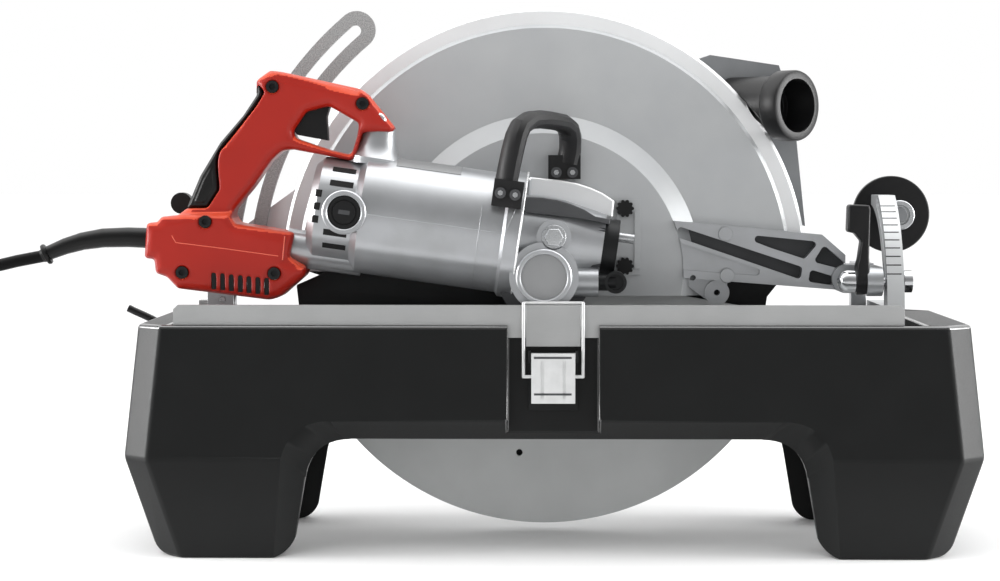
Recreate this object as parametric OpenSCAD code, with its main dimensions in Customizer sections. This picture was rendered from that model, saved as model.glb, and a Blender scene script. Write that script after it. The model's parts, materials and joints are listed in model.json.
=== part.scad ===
// Worm drive beam saw, latched on the moulded stand that carries it.
// Millimetres. +X is the front of the saw, +Y the blade side, +Z up.
// The origin is the middle of the stand's footprint, on the floor.

/* [Blade and arbor] */
// Diameter of the blade over its tooth tips
blade_d = 414; // [400:1:418]
// Thickness of the blade plate
blade_t = 2.8; // [2:0.1:3.4]
// Number of teeth on the blade
blade_teeth = 32; // [24:1:40]
// Depth of the gullets between the teeth
gullet_depth = 14; // [8:1:18]
// Diameter of the arbor where the blade seats
arbor_d = 25; // [20:0.5:28]
// Diameter of the two blade flanges
flange_d = 60; // [50:1:70]
// Thickness of each blade flange
flange_t = 6; // [4:0.5:7]

/* [Guards] */
// Wall of the upper guard
guard_wall = 4.5; // [3.5:0.5:6]
// Distance from the blade plane to the motor side of the upper guard
guard_near = 30; // [28:1:33]
// Distance from the blade plane to the outer side of the upper guard
guard_far = 28; // [26:1:32]
// Wall of the lower guard
lower_wall = 2.5; // [2:0.5:3]
// Half the width of the lower guard
lower_half = 14; // [12.5:0.5:16]
// Gap from the tooth tips to the inside of the lower guard
tip_gap = 7; // [5:0.5:9]
// Radial gap between the two guards
guard_gap = 1.5; // [1:0.5:3]
// Radius of the raised drum's flat face on the upper guard
drum_r = 117; // [112:1:122]
// How far the drum's cone widens towards the guard's face
drum_flare = 16; // [10:1:20]
// How far the drum stands out of the guard's face
drum_rise = 11; // [9:0.5:12]
// Arc that the lower guard covers, in degrees
lower_arc = 160; // [140:1:164]

/* [Foot] */
// Length of the foot
foot_l = 584; // [570:1:600]
// Distance from the arbor to the foot's front edge
foot_front = 287; // [284:1:292]
// Distance from the blade plane to the foot's motor side edge
foot_near = 150; // [146:1:153]
// Distance from the blade plane to the foot's outer edge
foot_far = 80; // [78:1:84]
// Thickness of the sole plate
foot_t = 6; // [5:0.5:7]
// Height of the upright rims
rim_h = 26; // [22:1:28]
// Thickness of the upright rims
rim_t = 5; // [4:0.5:7]
// Height of the arbor above the sole at full depth
arbor_rise = 48; // [46:1:52]
// Height of the bevel hinge above the sole
hinge_rise = 13; // [13:0.5:15]

/* [Stand] */
// Length of the stand at its waist
stand_l = 692; // [680:1:710]
// How far the stand's waist stands out beside the foot
stand_margin = 15; // [12:0.5:22]
// Height of the stand's top rim
stand_h = 187; // [180:1:195]
// Height of the waist crease
waist_h = 80; // [70:1:90]
// Wall of the moulding
stand_wall = 7; // [5:0.5:9]
// Height of the rim above the ledge that carries the foot
ledge_drop = 10; // [8:1:12]
// Height of the arch under the long sides
arch_h = 94; // [88:1:110]

/* [Motor and worm gear] */
// Outside diameter of the motor barrel
motor_d = 98; // [94:1:102]
// Upward tilt of the motor towards the rear, in degrees
motor_tilt = 8; // [5:0.5:10]
// Distance from the blade plane to the motor axis
motor_out = 92; // [91:1:95]
// Distance along the axis from the worm to the back of the motor
motor_l = 196; // [194:1:206]
// Module of the worm gear
gear_m = 1.6; // [1.5:0.05:1.65]
// Teeth on the worm wheel
wheel_teeth = 24; // [24:1:24]
// Starts of the worm thread
worm_starts = 3; // [3:1:3]
// Pitch diameter of the worm
worm_d = 20; // [18:0.5:21]
// Width of the worm wheel
wheel_w = 14; // [10:1:16]
// Backlash of the gear pair along the worm
backlash = 0.9; // [0.8:0.05:1.2]

/* [Handles] */
// Length of the rear handle
handle_l = 205; // [200:1:208]
// Height of the rear handle
handle_h = 187; // [184:1:190]
// Width of the rear grip
grip_w = 38; // [34:1:42]
// Width of the switch box below the grip
box_w = 54; // [48:1:60]
// Width of the front handle's strap
strap_w = 20; // [16:1:22]
// Thickness of the front handle's strap
strap_t = 15; // [12:1:17]

/* [Cord] */
// Diameter of the supply cord
cord_d = 10; // [9:0.5:11]
// Turns in each layer of the stored coil
coil_turns = 3; // [2:1:3]
// Diameter through the middle of the coil's turns, in cord diameters
coil_share = 12; // [11.5:0.5:13]

/* [Hidden] */
$fn = 64;

// Clearances shared by every fit
overrun = 1;
slip = 0.3;
running = 0.05;

// Places of the arbor in the stand's frame
arbor_x = -7.5;
blade_y = (foot_near - foot_far) / 2;
sole_z = stand_h - ledge_drop;
arbor_z = sole_z + arbor_rise;

// Radii that follow from the blade
blade_r = blade_d / 2;
lower_in = blade_r + tip_gap;
lower_out = lower_in + lower_wall;
guard_in = lower_out + guard_gap;
guard_out = guard_in + guard_wall;
band_w = 16.5;

// Frames: the arbor in the blade plane, the sole below it, and the motor axis at the worm
module at_arbor() translate([arbor_x, blade_y, arbor_z]) children();
module at_sole() translate([arbor_x, blade_y, sole_z]) children();
module at_motor() at_arbor() translate([gear_c * sin(motor_tilt), -motor_out, gear_c * cos(motor_tilt)])
    rotate([0, motor_tilt - 90, 0]) children();

// Solids along an axis, and plates cut from an outline
module rod_x(r, from, to) translate([from, 0, 0]) rotate([0, 90, 0]) cylinder(r = r, h = to - from);
module rod_y(r, from, to) translate([0, from, 0]) rotate([-90, 0, 0]) cylinder(r = r, h = to - from);
module rod_z(r, from, to) translate([0, 0, from]) cylinder(r = r, h = to - from);
module slab(low, high) translate(low) cube(high - low);
module plate_y(from, to) translate([0, to, 0]) rotate([90, 0, 0]) linear_extrude(to - from) children();
module plate_x(from, to) translate([from, 0, 0]) rotate([90, 0, 90]) linear_extrude(to - from) children();
module revolve_y() rotate([-90, 0, 0]) rotate_extrude() children();
module rounded(r) offset(r) offset(delta = -r) children();
module sector(r, from, to) {
    steps = 8;
    polygon(concat([[0, 0]], [for (i = [0:steps]) let(a = from + (to - from) * i / steps)
        2 * r * [cos(a), sin(a)]]));
}
// A ring slot about the origin with round ends
arc_steps = 24;
function arc(c, r, from, to) = [for (i = [1:arc_steps]) let(a = from + (to - from) * i / arc_steps)
    c + r * [cos(a), sin(a)]];
module ring_slot(r, half, from, to) polygon(concat(
    arc([0, 0], r + half, from, to), arc(r * [cos(to), sin(to)], half, to, to + 180),
    arc([0, 0], r - half, to, from), arc(r * [cos(from), sin(from)], half, from - 180, from)));
// Outline points given as shares of a box with its corner at low
function scaled(shares, size, low) = [for (p = shares) [low[0] + p[0] * size[0], low[1] + p[1] * size[1]]];

// Stand
stand_w = foot_near + foot_far + 2 * stand_margin;
leg_inset = 9;
leg_inset_end = 26;
waist_inset = 10.5;
corner_cut = 21;
stand_floor = 6;
foot_round = 20;
round_over = 0.05;
leg_steps = 8;
well_rear = 262;
well_front = 262;
ledge_near = 22;
ledge_far = 16;
arch_rear = 211;
arch_front = 216;
arch_lean = 16;
arch_r = 38;
flare_side = 20;
flare_top = 19;
flare_depth = 28;
flare_over_share = 0.1;
land_share = 0.04;
end_arch_w = 120;
end_arch_h = 46;
recess_w = 73;
recess_mid = 7.5;
recess_behind = 3;
recess_floor = 97;
backing_t = 8;
lip_t = 4;

function ring_corners(l, w, cut) = [
    [l / 2 - cut, -w / 2], [l / 2, -w / 2 + cut], [l / 2, w / 2 - cut], [l / 2 - cut, w / 2],
    [-l / 2 + cut, w / 2], [-l / 2, w / 2 - cut], [-l / 2, -w / 2 + cut], [-l / 2 + cut, -w / 2]];
module frustum(z0, l0, w0, z1, l1, w1, cut) {
    base = ring_corners(l0, w0, cut);
    top = ring_corners(l1, w1, cut);
    n = len(base);
    polyhedron(
        points = concat([for (p = base) [p[0], p[1], z0]], [for (p = top) [p[0], p[1], z1]]),
        faces = concat([[for (i = [0:n - 1]) i]], [[for (i = [0:n - 1]) 2 * n - 1 - i]],
            [for (i = [0:n - 1]) [i, n + i, n + (i + 1) % n, (i + 1) % n]]));
}
module stand_form(wall, bottom, top) {
    foot_l0 = stand_l - 2 * (leg_inset_end + wall);
    foot_w0 = stand_w - 2 * (leg_inset + wall);
    frustum(bottom, foot_l0, foot_w0, waist_h, stand_l - 2 * wall, stand_w - 2 * wall, corner_cut);
    frustum(waist_h, stand_l - 2 * wall, stand_w - 2 * wall, top,
        stand_l - 2 * (waist_inset + wall), stand_w - 2 * (waist_inset + wall), corner_cut);
}
// Arch under a long side, opened out by a share of its flare, with leaning sides and round upper corners
module arch_outline(share) {
    side = flare_side * share;
    top = arch_h + flare_top * share;
    lean = arch_lean * top / arch_h;
    rounded(arch_r) polygon([
        [-arch_rear - side - lean, -top], [arch_front + side + lean, -top],
        [arch_front + side - lean, top], [-arch_rear - side + lean, top]]);
}
// What rounds a lower corner of a leg whose side leans out upwards from x on the floor
leg_a = atan(leg_inset_end / waist_h);
arch_a = atan(arch_lean / arch_h);
leg_end = stand_l / 2 - leg_inset_end;
module leg_round(x, s, lean) translate([x, 0]) scale([s, 1]) {
    back = foot_round * (1 - sin(lean)) / cos(lean);
    polygon(concat([for (i = [0:leg_steps]) let(a = -lean + (lean - 90) * i / leg_steps)
            [-back, foot_round] + (foot_round + round_over) * [cos(a), sin(a)]],
        [[-back, -overrun], [foot_round, -overrun], [foot_round, foot_round * (1 - sin(lean))]]));
}
module stand_shell() color("#262626") difference() {
    stand_form(0, 0, stand_h);
    // Hollow, with a solid frame round the arches and a backing for the latch
    difference() {
        stand_form(stand_wall, stand_floor, sole_z - ledge_drop);
        plate_y(-stand_w, stand_w) offset(delta = stand_wall) arch_outline(1);
        slab([arbor_x + recess_mid - recess_w / 2 - backing_t, latch_y - backing_t, arch_h],
             [arbor_x + recess_mid + recess_w / 2 + backing_t, latch_y + backing_t, sole_z]);
    }
    // Well under the saw, open to the floor
    slab([arbor_x - well_rear, blade_y - foot_near + ledge_near, -overrun],
         [arbor_x + well_front, blade_y + foot_far - ledge_far, stand_h + overrun]);
    // Seat of the foot
    at_sole() slab([foot_front - foot_l - lip_t, -foot_near - slip, 0],
                   [foot_front + lip_t + quadrant_t, foot_far + slip, ledge_drop + overrun]);
    plate_y(-stand_w, stand_w) {
        arch_outline(-land_share);
        leg_round(-arch_rear + flare_side * land_share, 1, arch_a);
        leg_round(arch_front - flare_side * land_share, -1, arch_a);
    }
    for (s = [-1, 1]) hull() for (share = [0, 1 + flare_over_share])
        translate([0, s * (stand_w / 2 - flare_depth * (1 - share)), 0])
            plate_y(-overrun / 2, overrun / 2) arch_outline(share);
    plate_y(-stand_w, stand_w) {
        leg_round(-leg_end, -1, leg_a);
        leg_round(leg_end, 1, leg_a);
    }
    plate_x(-stand_l, stand_l) translate([-end_arch_w / 2, -overrun])
        square([end_arch_w, end_arch_h + overrun]);
    // Latch recess in the motor side
    slab([arbor_x + recess_mid - recess_w / 2, -stand_w / 2 - overrun, recess_floor],
         [arbor_x + recess_mid + recess_w / 2, latch_y, stand_h + overrun]);
}

// Draw latch
latch_y = blade_y - foot_near + recess_behind;
latch_w = 35;
latch_h = 40;
latch_plate_t = 2.5;
latch_drop = 12;
latch_pin_r = 2.4;
latch_top = sole_z - latch_drop;
latch_pin_z = latch_top - latch_pin_r;
latch_pin_gap = 4;
latch_pin_y = latch_y - latch_plate_t - latch_pin_gap;
bail_arm = 16.5;
bail_w = 47.6;
wire_r = 1.35;
keeper_w = 44;
keeper_t = 1.6;
keeper_drop = 7;
ear_t = 2;
bail_top = rim_h + sole_z + wire_r + slip;
bail_reach = 6;
base_h = 46;
module latch_base() color("#c9cbcc") translate([arbor_x + recess_mid, 0, 0]) difference() {
    union() {
        slab([-latch_w / 2 - ear_t - slip, latch_y - latch_plate_t, latch_top - base_h],
             [latch_w / 2 + ear_t + slip, latch_y, latch_top]);
        for (s = [-1, 1]) translate([s * (latch_w / 2 + slip + ear_t / 2), 0, 0])
            slab([-ear_t / 2, latch_pin_y - latch_pin_r * 2, latch_pin_z - latch_pin_r * 2],
                 [ear_t / 2, latch_y - latch_plate_t / 2, latch_pin_z + latch_pin_r * 1.8]);
    }
    translate([0, latch_pin_y, latch_pin_z]) rod_x(latch_pin_r + running, -latch_w, latch_w);
}
module latch_lever() color("#dcdcdc") translate([arbor_x + recess_mid, 0, 0]) difference() {
    union() {
        slab([-latch_w / 2, latch_pin_y - latch_plate_t * 2, latch_top - latch_h],
             [latch_w / 2, latch_pin_y - latch_plate_t, latch_pin_z + latch_pin_r]);
        for (s = [-1, 1]) translate([s * (latch_w / 2 - ear_t / 2), 0, 0])
            slab([-ear_t / 2, latch_pin_y - latch_plate_t * 1.5, latch_pin_z - bail_arm - latch_pin_r * 2],
                 [ear_t / 2, latch_pin_y + latch_pin_r * 1.2, latch_pin_z + latch_pin_r]);
        translate([0, latch_pin_y, latch_pin_z])
            rod_x(latch_pin_r, -latch_w / 2 - slip - ear_t, latch_w / 2 + slip + ear_t);
    }
    translate([0, latch_pin_y, latch_pin_z - bail_arm]) rod_x(wire_r + running, -latch_w, latch_w);
    for (s = [-1, 1]) translate([s * latch_w / 4, 0, 0])
        slab([-latch_plate_t / 2, latch_pin_y - latch_plate_t * 2 - overrun, latch_top - latch_h * 0.9],
             [latch_plate_t / 2, latch_pin_y - latch_plate_t * 1.7, latch_pin_z - latch_h * 0.1]);
}
module latch_bail() color("#dcdcdc") translate([arbor_x + recess_mid, latch_pin_y, latch_pin_z - bail_arm]) {
    rise = bail_top - latch_pin_z + bail_arm;
    for (s = [-1, 1]) {
        translate([s * bail_w / 2, 0, 0]) {
            rod_z(wire_r, 0, rise);
            sphere(wire_r);
            translate([0, 0, rise]) sphere(wire_r);
            translate([0, 0, rise]) rod_y(wire_r, 0, bail_reach);
            translate([0, bail_reach, rise]) sphere(wire_r);
        }
        translate([s * (bail_w / 2 + latch_w / 2 - 2 * ear_t) / 2, 0, 0])
            rod_x(wire_r, -(bail_w - latch_w) / 4 - ear_t, (bail_w - latch_w) / 4 + ear_t);
    }
    translate([0, bail_reach, rise]) rod_x(wire_r, -bail_w / 2, bail_w / 2);
}
module latch_keeper() color("#c4c4c4") at_sole()
    slab([recess_mid - keeper_w / 2, -foot_near - keeper_t, -keeper_drop],
         [recess_mid + keeper_w / 2, -foot_near, rim_h]);

// Foot
opening_rear = 236;
opening_front = 238;
opening_near = 42;
opening_far = 58;
opening_r = 12;
hinge_r = 4;
knuckle_r = 6.4;
rear_lug_t = 9;
rear_lug_h = 22;
foot_rear = foot_l - foot_front;
module foot_plate() color("#a2a3a3") at_sole() difference() {
    union() {
        slab([-foot_rear, -foot_near, 0], [foot_front, foot_far, foot_t]);
        slab([-foot_rear, -foot_near, 0], [foot_front, -foot_near + rim_t, rim_h]);
        slab([-foot_rear, foot_far - rim_t, 0], [foot_front, foot_far, rim_h]);
        // Lug of the rear bevel pin
        slab([-foot_rear, -knuckle_r, 0], [-foot_rear + rear_lug_t, knuckle_r, rear_lug_h]);
        // Stiffening ribs beside the opening
        for (y = [-opening_near - rim_t, opening_far])
            slab([-opening_rear, y, 0], [opening_front, y + rim_t, foot_t * 1.5]);
    }
    linear_extrude(rim_h, center = true) translate([-opening_rear, -opening_near]) rounded(opening_r)
        square([opening_rear + opening_front, opening_near + opening_far]);
    translate([0, 0, hinge_rise]) rod_x(hinge_r + running, -foot_rear - overrun,
        -foot_rear + rear_lug_t + overrun);
    // Square corners are eased at the motor side ends
    for (x = [-foot_rear, foot_front]) translate([x, -foot_near, rim_h]) rotate([0, 45, 0])
        cube([rim_t, 3 * rim_t, rim_t], center = true);
}

// Bevel quadrant: toothless arc plate that carries the angle scale
quadrant_x = 279;
quadrant_t = 14;
quadrant_r = 113;
quadrant_band = 21;
bevel_a = 45;
bolt_y = 100;
bolt_z = 43;
bolt_r = 4;
slot_r = norm([bolt_y, bolt_z - hinge_rise]);
slot_a = atan2(bolt_z - hinge_rise, bolt_y);
slot_spare = 4;
slot_spare_a = slot_spare / slot_r * 180 / PI;
quadrant_top = 84;
quadrant_flat = 100;
post_w = 16;
base_top = 22;
roller_x = 299.5;
roller_z = 96;
roller_r = 33;
roller_t = 8;
roller_y = 12;
roller_boss_r = 10.8;
roller_boss_l = 47;
roller_pin_r = 5;
module quadrant_outline() difference() {
    union() {
        intersection() {
            difference() {
                circle(quadrant_r);
                circle(quadrant_r - quadrant_band);
            }
            sector(quadrant_r, 180 - quadrant_top, 180);
            translate([-quadrant_r, 0]) square([quadrant_r, quadrant_flat]);
        }
        translate([-quadrant_r, foot_t - hinge_rise]) square([quadrant_band, hinge_rise - foot_t]);
        translate([-quadrant_r + quadrant_band / 2, foot_t - hinge_rise])
            square([quadrant_r - quadrant_band / 2 + 2 * knuckle_r, base_top - foot_t]);
    }
    ring_slot(slot_r, bolt_r + slip, 180 - slot_a - bevel_a - slot_spare_a, 180 - slot_a + slot_spare_a);
    circle(hinge_r + running);
}
module bevel_quadrant() color("#c8c9ca") at_sole() {
    translate([0, 0, hinge_rise]) plate_x(quadrant_x, quadrant_x + quadrant_t) quadrant_outline();
    difference() {
        translate([roller_x, 0, roller_z])
            rod_y(roller_boss_r, roller_y - slip - roller_boss_l, roller_y - slip);
        translate([roller_x, 0, roller_z]) rod_y(roller_pin_r + running, -bolt_y, bolt_y);
    }
}
screw_r = 3;
screw_head_r = 5;
screw_head_t = 3;
module quadrant_screws() color("#3a3a3a") at_sole() for (y = [-bolt_y + post_w, -post_w])
    translate([quadrant_x + quadrant_t, y, (foot_t + base_top) / 2]) rod_x(screw_head_r, 0, screw_head_t);
module roller_bolt() color("#5a5a5a") at_sole() translate([roller_x, 0, roller_z]) {
    rod_y(roller_pin_r, roller_y - roller_boss_l, roller_y + roller_t + slip);
    rod_y(roller_pin_r * 1.6, roller_y + roller_t + slip, roller_y + roller_t + slip + screw_head_t);
    rod_y(roller_pin_r * 1.3, roller_y - slip - roller_boss_l - screw_head_t,
        roller_y - slip - roller_boss_l);
}
module front_roller() color("#1c1c1c") at_sole() translate([roller_x, 0, roller_z]) revolve_y() polygon([
    [roller_pin_r + running, roller_y], [roller_r - overrun, roller_y], [roller_r, roller_y + overrun],
    [roller_r, roller_y + roller_t - overrun], [roller_r - overrun, roller_y + roller_t],
    [roller_pin_r + running, roller_y + roller_t]]);

// Tilting front bracket that carries the depth pivot
pivot_x = 253;
pivot_z = 43;
pivot_r = 6;
arm_t = 16;
arm_y = -guard_near - slip - arm_t;
bracket_x = 263;
bracket_t = 13;
bracket_top = 56;
ear_y_t = 6;
ear_r = 12;
ear_gap = slip;
arm_band = 12;
module tilt_bracket() color("#b4b5b5") at_sole() difference() {
    union() {
        plate_x(bracket_x, bracket_x + bracket_t) union() {
            translate([0, hinge_rise]) circle(knuckle_r);
            translate([-knuckle_r, hinge_rise]) square([2 * knuckle_r, bracket_top - hinge_rise]);
            translate([arm_y - ear_y_t - ear_gap, pivot_z - ear_r])
                square([-arm_y + ear_y_t + knuckle_r, bracket_top - pivot_z + ear_r]);
            translate([-bolt_y, bolt_z - arm_band]) square([bolt_y + arm_y, 2 * arm_band]);
            translate([-bolt_y, bolt_z]) circle(arm_band);
        }
        for (y = [arm_y - ear_gap - ear_y_t, arm_y + arm_t + ear_gap]) {
            translate([pivot_x, 0, pivot_z]) rod_y(ear_r, y, y + ear_y_t);
            slab([pivot_x, y, pivot_z - ear_r], [bracket_x + overrun, y + ear_y_t, pivot_z + ear_r]);
        }
    }
    translate([0, 0, hinge_rise]) rod_x(hinge_r + running, bracket_x - overrun, quadrant_x);
    translate([0, -bolt_y, bolt_z]) rod_x(bolt_r + running, bracket_x - overrun, quadrant_x);
    translate([pivot_x, 0, pivot_z]) rod_y(pivot_r + running, -bolt_y, 0);
}
module depth_pin() color("#8d8f91") at_sole() translate([pivot_x, 0, pivot_z])
    rod_y(pivot_r, arm_y - ear_gap - ear_y_t, arm_y + arm_t + ear_gap + ear_y_t);
// The two bevel pins, each fast in the foot side
module bevel_pins() color("#8d8f91") at_sole() translate([0, 0, hinge_rise]) {
    rod_x(hinge_r, bracket_x, quadrant_x + quadrant_t);
    rod_x(hinge_r, -foot_rear, -foot_rear + rear_lug_t + clevis_l);
}
nut_r = 9;
nut_t = 7;
dome_l = 15;
lever_t = 8;
lever_gap = slip;
module bevel_bolt() color("#d8d9da") at_sole() translate([0, -bolt_y, bolt_z]) {
    rod_x(bolt_r, bracket_x - lever_gap - lever_t - slip - dome_l / 2,
        quadrant_x + quadrant_t + slip + nut_t);
    translate([bracket_x - lever_gap - lever_t - slip - dome_l, 0, 0]) {
        rod_x(nut_r, nut_r, dome_l);
        intersection() {
            translate([nut_r, 0, 0]) sphere(nut_r);
            rod_x(nut_r, 0, nut_r);
        }
    }
}
module bevel_nut() color("#3b3d3f") at_sole() translate([0, -bolt_y, bolt_z]) difference() {
    rod_x(nut_r, quadrant_x + quadrant_t + slip, quadrant_x + quadrant_t + slip + nut_t);
    rod_x(bolt_r, 0, quadrant_x + foot_l);
}
bevel_lever_l = 52;
finger_l = 18;
finger_h = 26;
finger_w = 14;
module bevel_lever() color("#1e1e1e") at_sole()
    translate([bracket_x - lever_gap - lever_t, -bolt_y, bolt_z]) difference() {
    union() {
        rod_x(nut_r * 1.2, 0, lever_t);
        slab([0, -nut_r * 0.7, 0], [lever_t, nut_r * 0.7, bevel_lever_l]);
        slab([-finger_l + lever_t, -finger_w / 2, bevel_lever_l - finger_h / 2],
             [lever_t, finger_w / 2, bevel_lever_l + finger_h / 2]);
    }
    rod_x(bolt_r + running, -overrun, lever_t + overrun);
}

// Depth bracket: slotted arc that the depth clamp slides along
hook_x = -275;
hook_z = -25;
hook_pin_r = 3;
clamp_x = -256;
clamp_z = 25;
clamp_r = 4;
depth_a = 22.8;
bracket_ratio_share = -0.45;
bar_half = 16;
hook_eye_r = 9.75;
bar_t = 6;
bar_y = -13;
slot_play = 0.9;
slot_half = clamp_r + slot_play;
pivot = [pivot_x, pivot_z - arbor_rise];
hook = [hook_x, hook_z];
function turned(p, about, a) = let(d = p - about)
    about + [d[0] * cos(a) + d[1] * sin(a), -d[0] * sin(a) + d[1] * cos(a)];
function bolt_track(a) = turned(turned([clamp_x, clamp_z], pivot, a), hook, -bracket_ratio_share * a);
function circle_centre(a, b, c) = let(d = 2 * (a[0] * (b[1] - c[1]) + b[0] * (c[1] - a[1])
    + c[0] * (a[1] - b[1])))
    [((a * a) * (b[1] - c[1]) + (b * b) * (c[1] - a[1]) + (c * c) * (a[1] - b[1])) / d,
     ((a * a) * (c[0] - b[0]) + (b * b) * (a[0] - c[0]) + (c * c) * (b[0] - a[0])) / d];
arc_c = circle_centre(bolt_track(0), bolt_track(depth_a / 2), bolt_track(depth_a));
arc_r = norm(bolt_track(0) - arc_c);
function angle_at(p) = atan2(p[1] - arc_c[1], p[0] - arc_c[0]);
arc_from = angle_at(bolt_track(depth_a));
arc_to = angle_at(bolt_track(0));
end_spare = 6;
end_spare_a = end_spare / arc_r * 180 / PI;
module depth_bracket() color("#6a6a6a") at_arbor() plate_y(bar_y, bar_y + bar_t) difference() {
    union() {
        translate(arc_c) ring_slot(arc_r, bar_half, arc_from - end_spare_a / 2, arc_to + end_spare_a);
        translate(hook) circle(hook_eye_r);
        // Straight shank from the arc down to the hinge
        polygon([hook + [-hook_eye_r, 0], hook + [hook_eye_r, 0],
                 [clamp_x, clamp_z] + hook_eye_r * [0.8, 0.5],
                 [clamp_x, clamp_z] + hook_eye_r * [-0.8, 0.5]]);
    }
    translate(arc_c) ring_slot(arc_r, slot_half, arc_from - end_spare_a / 4, arc_to + end_spare_a / 2);
    translate(hook) circle(hook_pin_r + running);
}
clevis_l = 22;
clevis_ear = 6;
module rear_clevis() color("#a9abac") at_sole() difference() {
    union() {
        translate([-foot_rear + rear_lug_t + slip, 0, hinge_rise]) rod_x(knuckle_r, 0, clevis_l);
        slab([-foot_rear + rear_lug_t + slip, bar_y + bar_t + slip, hinge_rise],
             [-foot_rear + rear_lug_t + slip + clevis_l, knuckle_r, hook_z + arbor_rise + hook_eye_r]);
        slab([-foot_rear + rear_lug_t + slip, bar_y - slip - clevis_ear, hinge_rise - knuckle_r],
             [-foot_rear + rear_lug_t + slip + clevis_l, bar_y - slip, hook_z + arbor_rise + hook_eye_r]);
        slab([-foot_rear + rear_lug_t + slip, bar_y - slip - clevis_ear, hinge_rise - knuckle_r],
             [-foot_rear + rear_lug_t + slip + clevis_l, 0, hinge_rise - knuckle_r + rim_t]);
    }
    translate([-foot_rear, 0, hinge_rise])
        rod_x(hinge_r + running, 0, rear_lug_t + slip + clevis_l + overrun);
    translate([hook_x, 0, hook_z + arbor_rise]) rod_y(hook_pin_r + running, -foot_near, foot_far);
}
module bracket_pin() color("#8d8f91") at_arbor() translate([hook_x, 0, hook_z])
    rod_y(hook_pin_r, bar_y - slip - clevis_ear, bar_y + bar_t + slip + clevis_ear);

// Guards
guard_cut = 0;
drum_cut = -20;
drum_base_r = drum_r + drum_flare;
band_step = 3;
edge = 2.5;
window_r = 52;
nose_r = 31;
nose_over = 1.5;
nose_end = -lower_half + lower_wall + nose_over;
face_y = -guard_near - drum_rise;
lug_r = 14;
lug_t = 10;
lug_low = 4;
lug_high = 20;
pad_x = 61;
pad_l = 20;
pad_z = -2;
pad_h = 63;
pad_t = 2;
ridge_w = 5;
guard_profile = [
    [nose_r + slip, face_y], [drum_r, face_y], [drum_base_r, -guard_near],
    [guard_out - band_w, -guard_near], [guard_out - band_w + band_step, -guard_near + band_step],
    [guard_out - edge, -guard_near + band_step], [guard_out, -guard_near + band_step + edge],
    [guard_out, guard_far - edge], [guard_out - edge, guard_far], [window_r, guard_far],
    [window_r, guard_far - guard_wall], [guard_in, guard_far - guard_wall],
    [guard_in, -guard_near + band_step + guard_wall], [guard_out - band_w, -guard_near + guard_wall],
    [drum_base_r - guard_wall, -guard_near + guard_wall], [drum_r - guard_wall, face_y + guard_wall],
    [nose_r + slip, face_y + guard_wall]];
module upper_guard() color("#a6a8aa") at_arbor() difference() {
    union() {
        intersection() {
            revolve_y() polygon(guard_profile);
            union() {
                slab([-guard_out, -guard_near - drum_rise, guard_cut], [guard_out, guard_far, guard_out]);
                slab([-drum_base_r, -guard_near - drum_rise, drum_cut],
                    [drum_base_r, 0, guard_cut + overrun]);
            }
        }
        // Pad of the two knobs
        slab([pad_x, face_y - pad_t, pad_z], [pad_x + pad_l, face_y + pad_t, pad_z + pad_h]);
        slab([pad_x + pad_l - ridge_w, face_y - 2 * pad_t, pad_z + ridge_w],
             [pad_x + pad_l, face_y, pad_z + pad_h - 2 * ridge_w]);
        // Lug of the depth clamp
        plate_y(bar_y + bar_t + slip, bar_y + bar_t + slip + lug_t) difference() {
            union() {
                polygon([(guard_in + overrun) * [-cos(lug_high), sin(lug_high)], [clamp_x, clamp_z + lug_r],
                         [clamp_x, clamp_z - lug_r], (guard_in + overrun) * [-cos(lug_low), sin(lug_low)]]);
                translate([clamp_x, clamp_z]) circle(lug_r);
            }
            circle(guard_in);
        }
    }
    translate([clamp_x, 0, clamp_z]) rod_y(clamp_r + running, bar_y, lug_t);
    for (z = knob_z) translate([knob_x, 0, z])
        rod_y(screw_r + running, face_y - 3 * pad_t, face_y + pad_t / 2);
    // Shallow relief for the motor
    translate(-[arbor_x, blade_y, arbor_z]) at_motor() {
        rod_z(mate_r + slip, tube_rear - mate_t - slip, tube_rear + mate_t + edge);
        rod_z(motor_r + slip, tube_rear, bell_from);
    }
    // Chip way into the dust port
    at_port() rod_z(port_throat_r, -port_root, 0);
}
// Front arm: ribbed casting from the guard to the depth pivot
arm_rib = 6;
arm_web = 4;
arm_step = 4;
arm_boss = 6;
arm_eye_r = bracket_x - pivot_x - slip;
arm_l = 146;
arm_h = 62;
arm_x = 118;
arm_z = -19;
arm_outline_shares = [[-0.12, 1.02], [0.79, 0.82], [0.97, 0.45], [1, 0.3], [1, 0.05], [0.9, 0.07],
    [-0.05, 0.24]];
arm_pocket_shares = [
    [[0.276, 0.84], [0.745, 0.73], [0.76, 0.68], [0.69, 0.49], [0.495, 0.64]],
    [[0.8, 0.68], [0.94, 0.4], [0.92, 0.34], [0.74, 0.45]],
    [[-0.03, 0.93], [0.678, 0.38], [0.668, 0.21], [0.62, 0.25], [-0.06, 0.8]],
    [[0.723, 0.35], [0.86, 0.25], [0.86, 0.13], [0.712, 0.18]]];
arm_dip_shares = [[-0.06, 0.74], [0.56, 0.25], [0.3, 0.28], [-0.05, 0.35]];
arm_bolt_shares = [[0.235, 0.83], [0.245, 0.265]];
arm_foot_shares = [[-0.02, 0.3], [0.26, 0.25], [0.24, 0], [0.16, -0.12], [0.02, 0.12]];
arm_lug_shares = [[0.05, 0.23], [0.19, 0.03]];
arm_lug_r = [6.5, 10.5];
arm_lug_bore = 2.5;
arm_foot_t = 7;
module arm_area(shares) polygon(scaled(shares, [arm_l, arm_h], [arm_x, arm_z]));
module at_arm(share) translate([arm_x + arm_l * share[0], 0, arm_z + arm_h * share[1]]) children();
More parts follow.
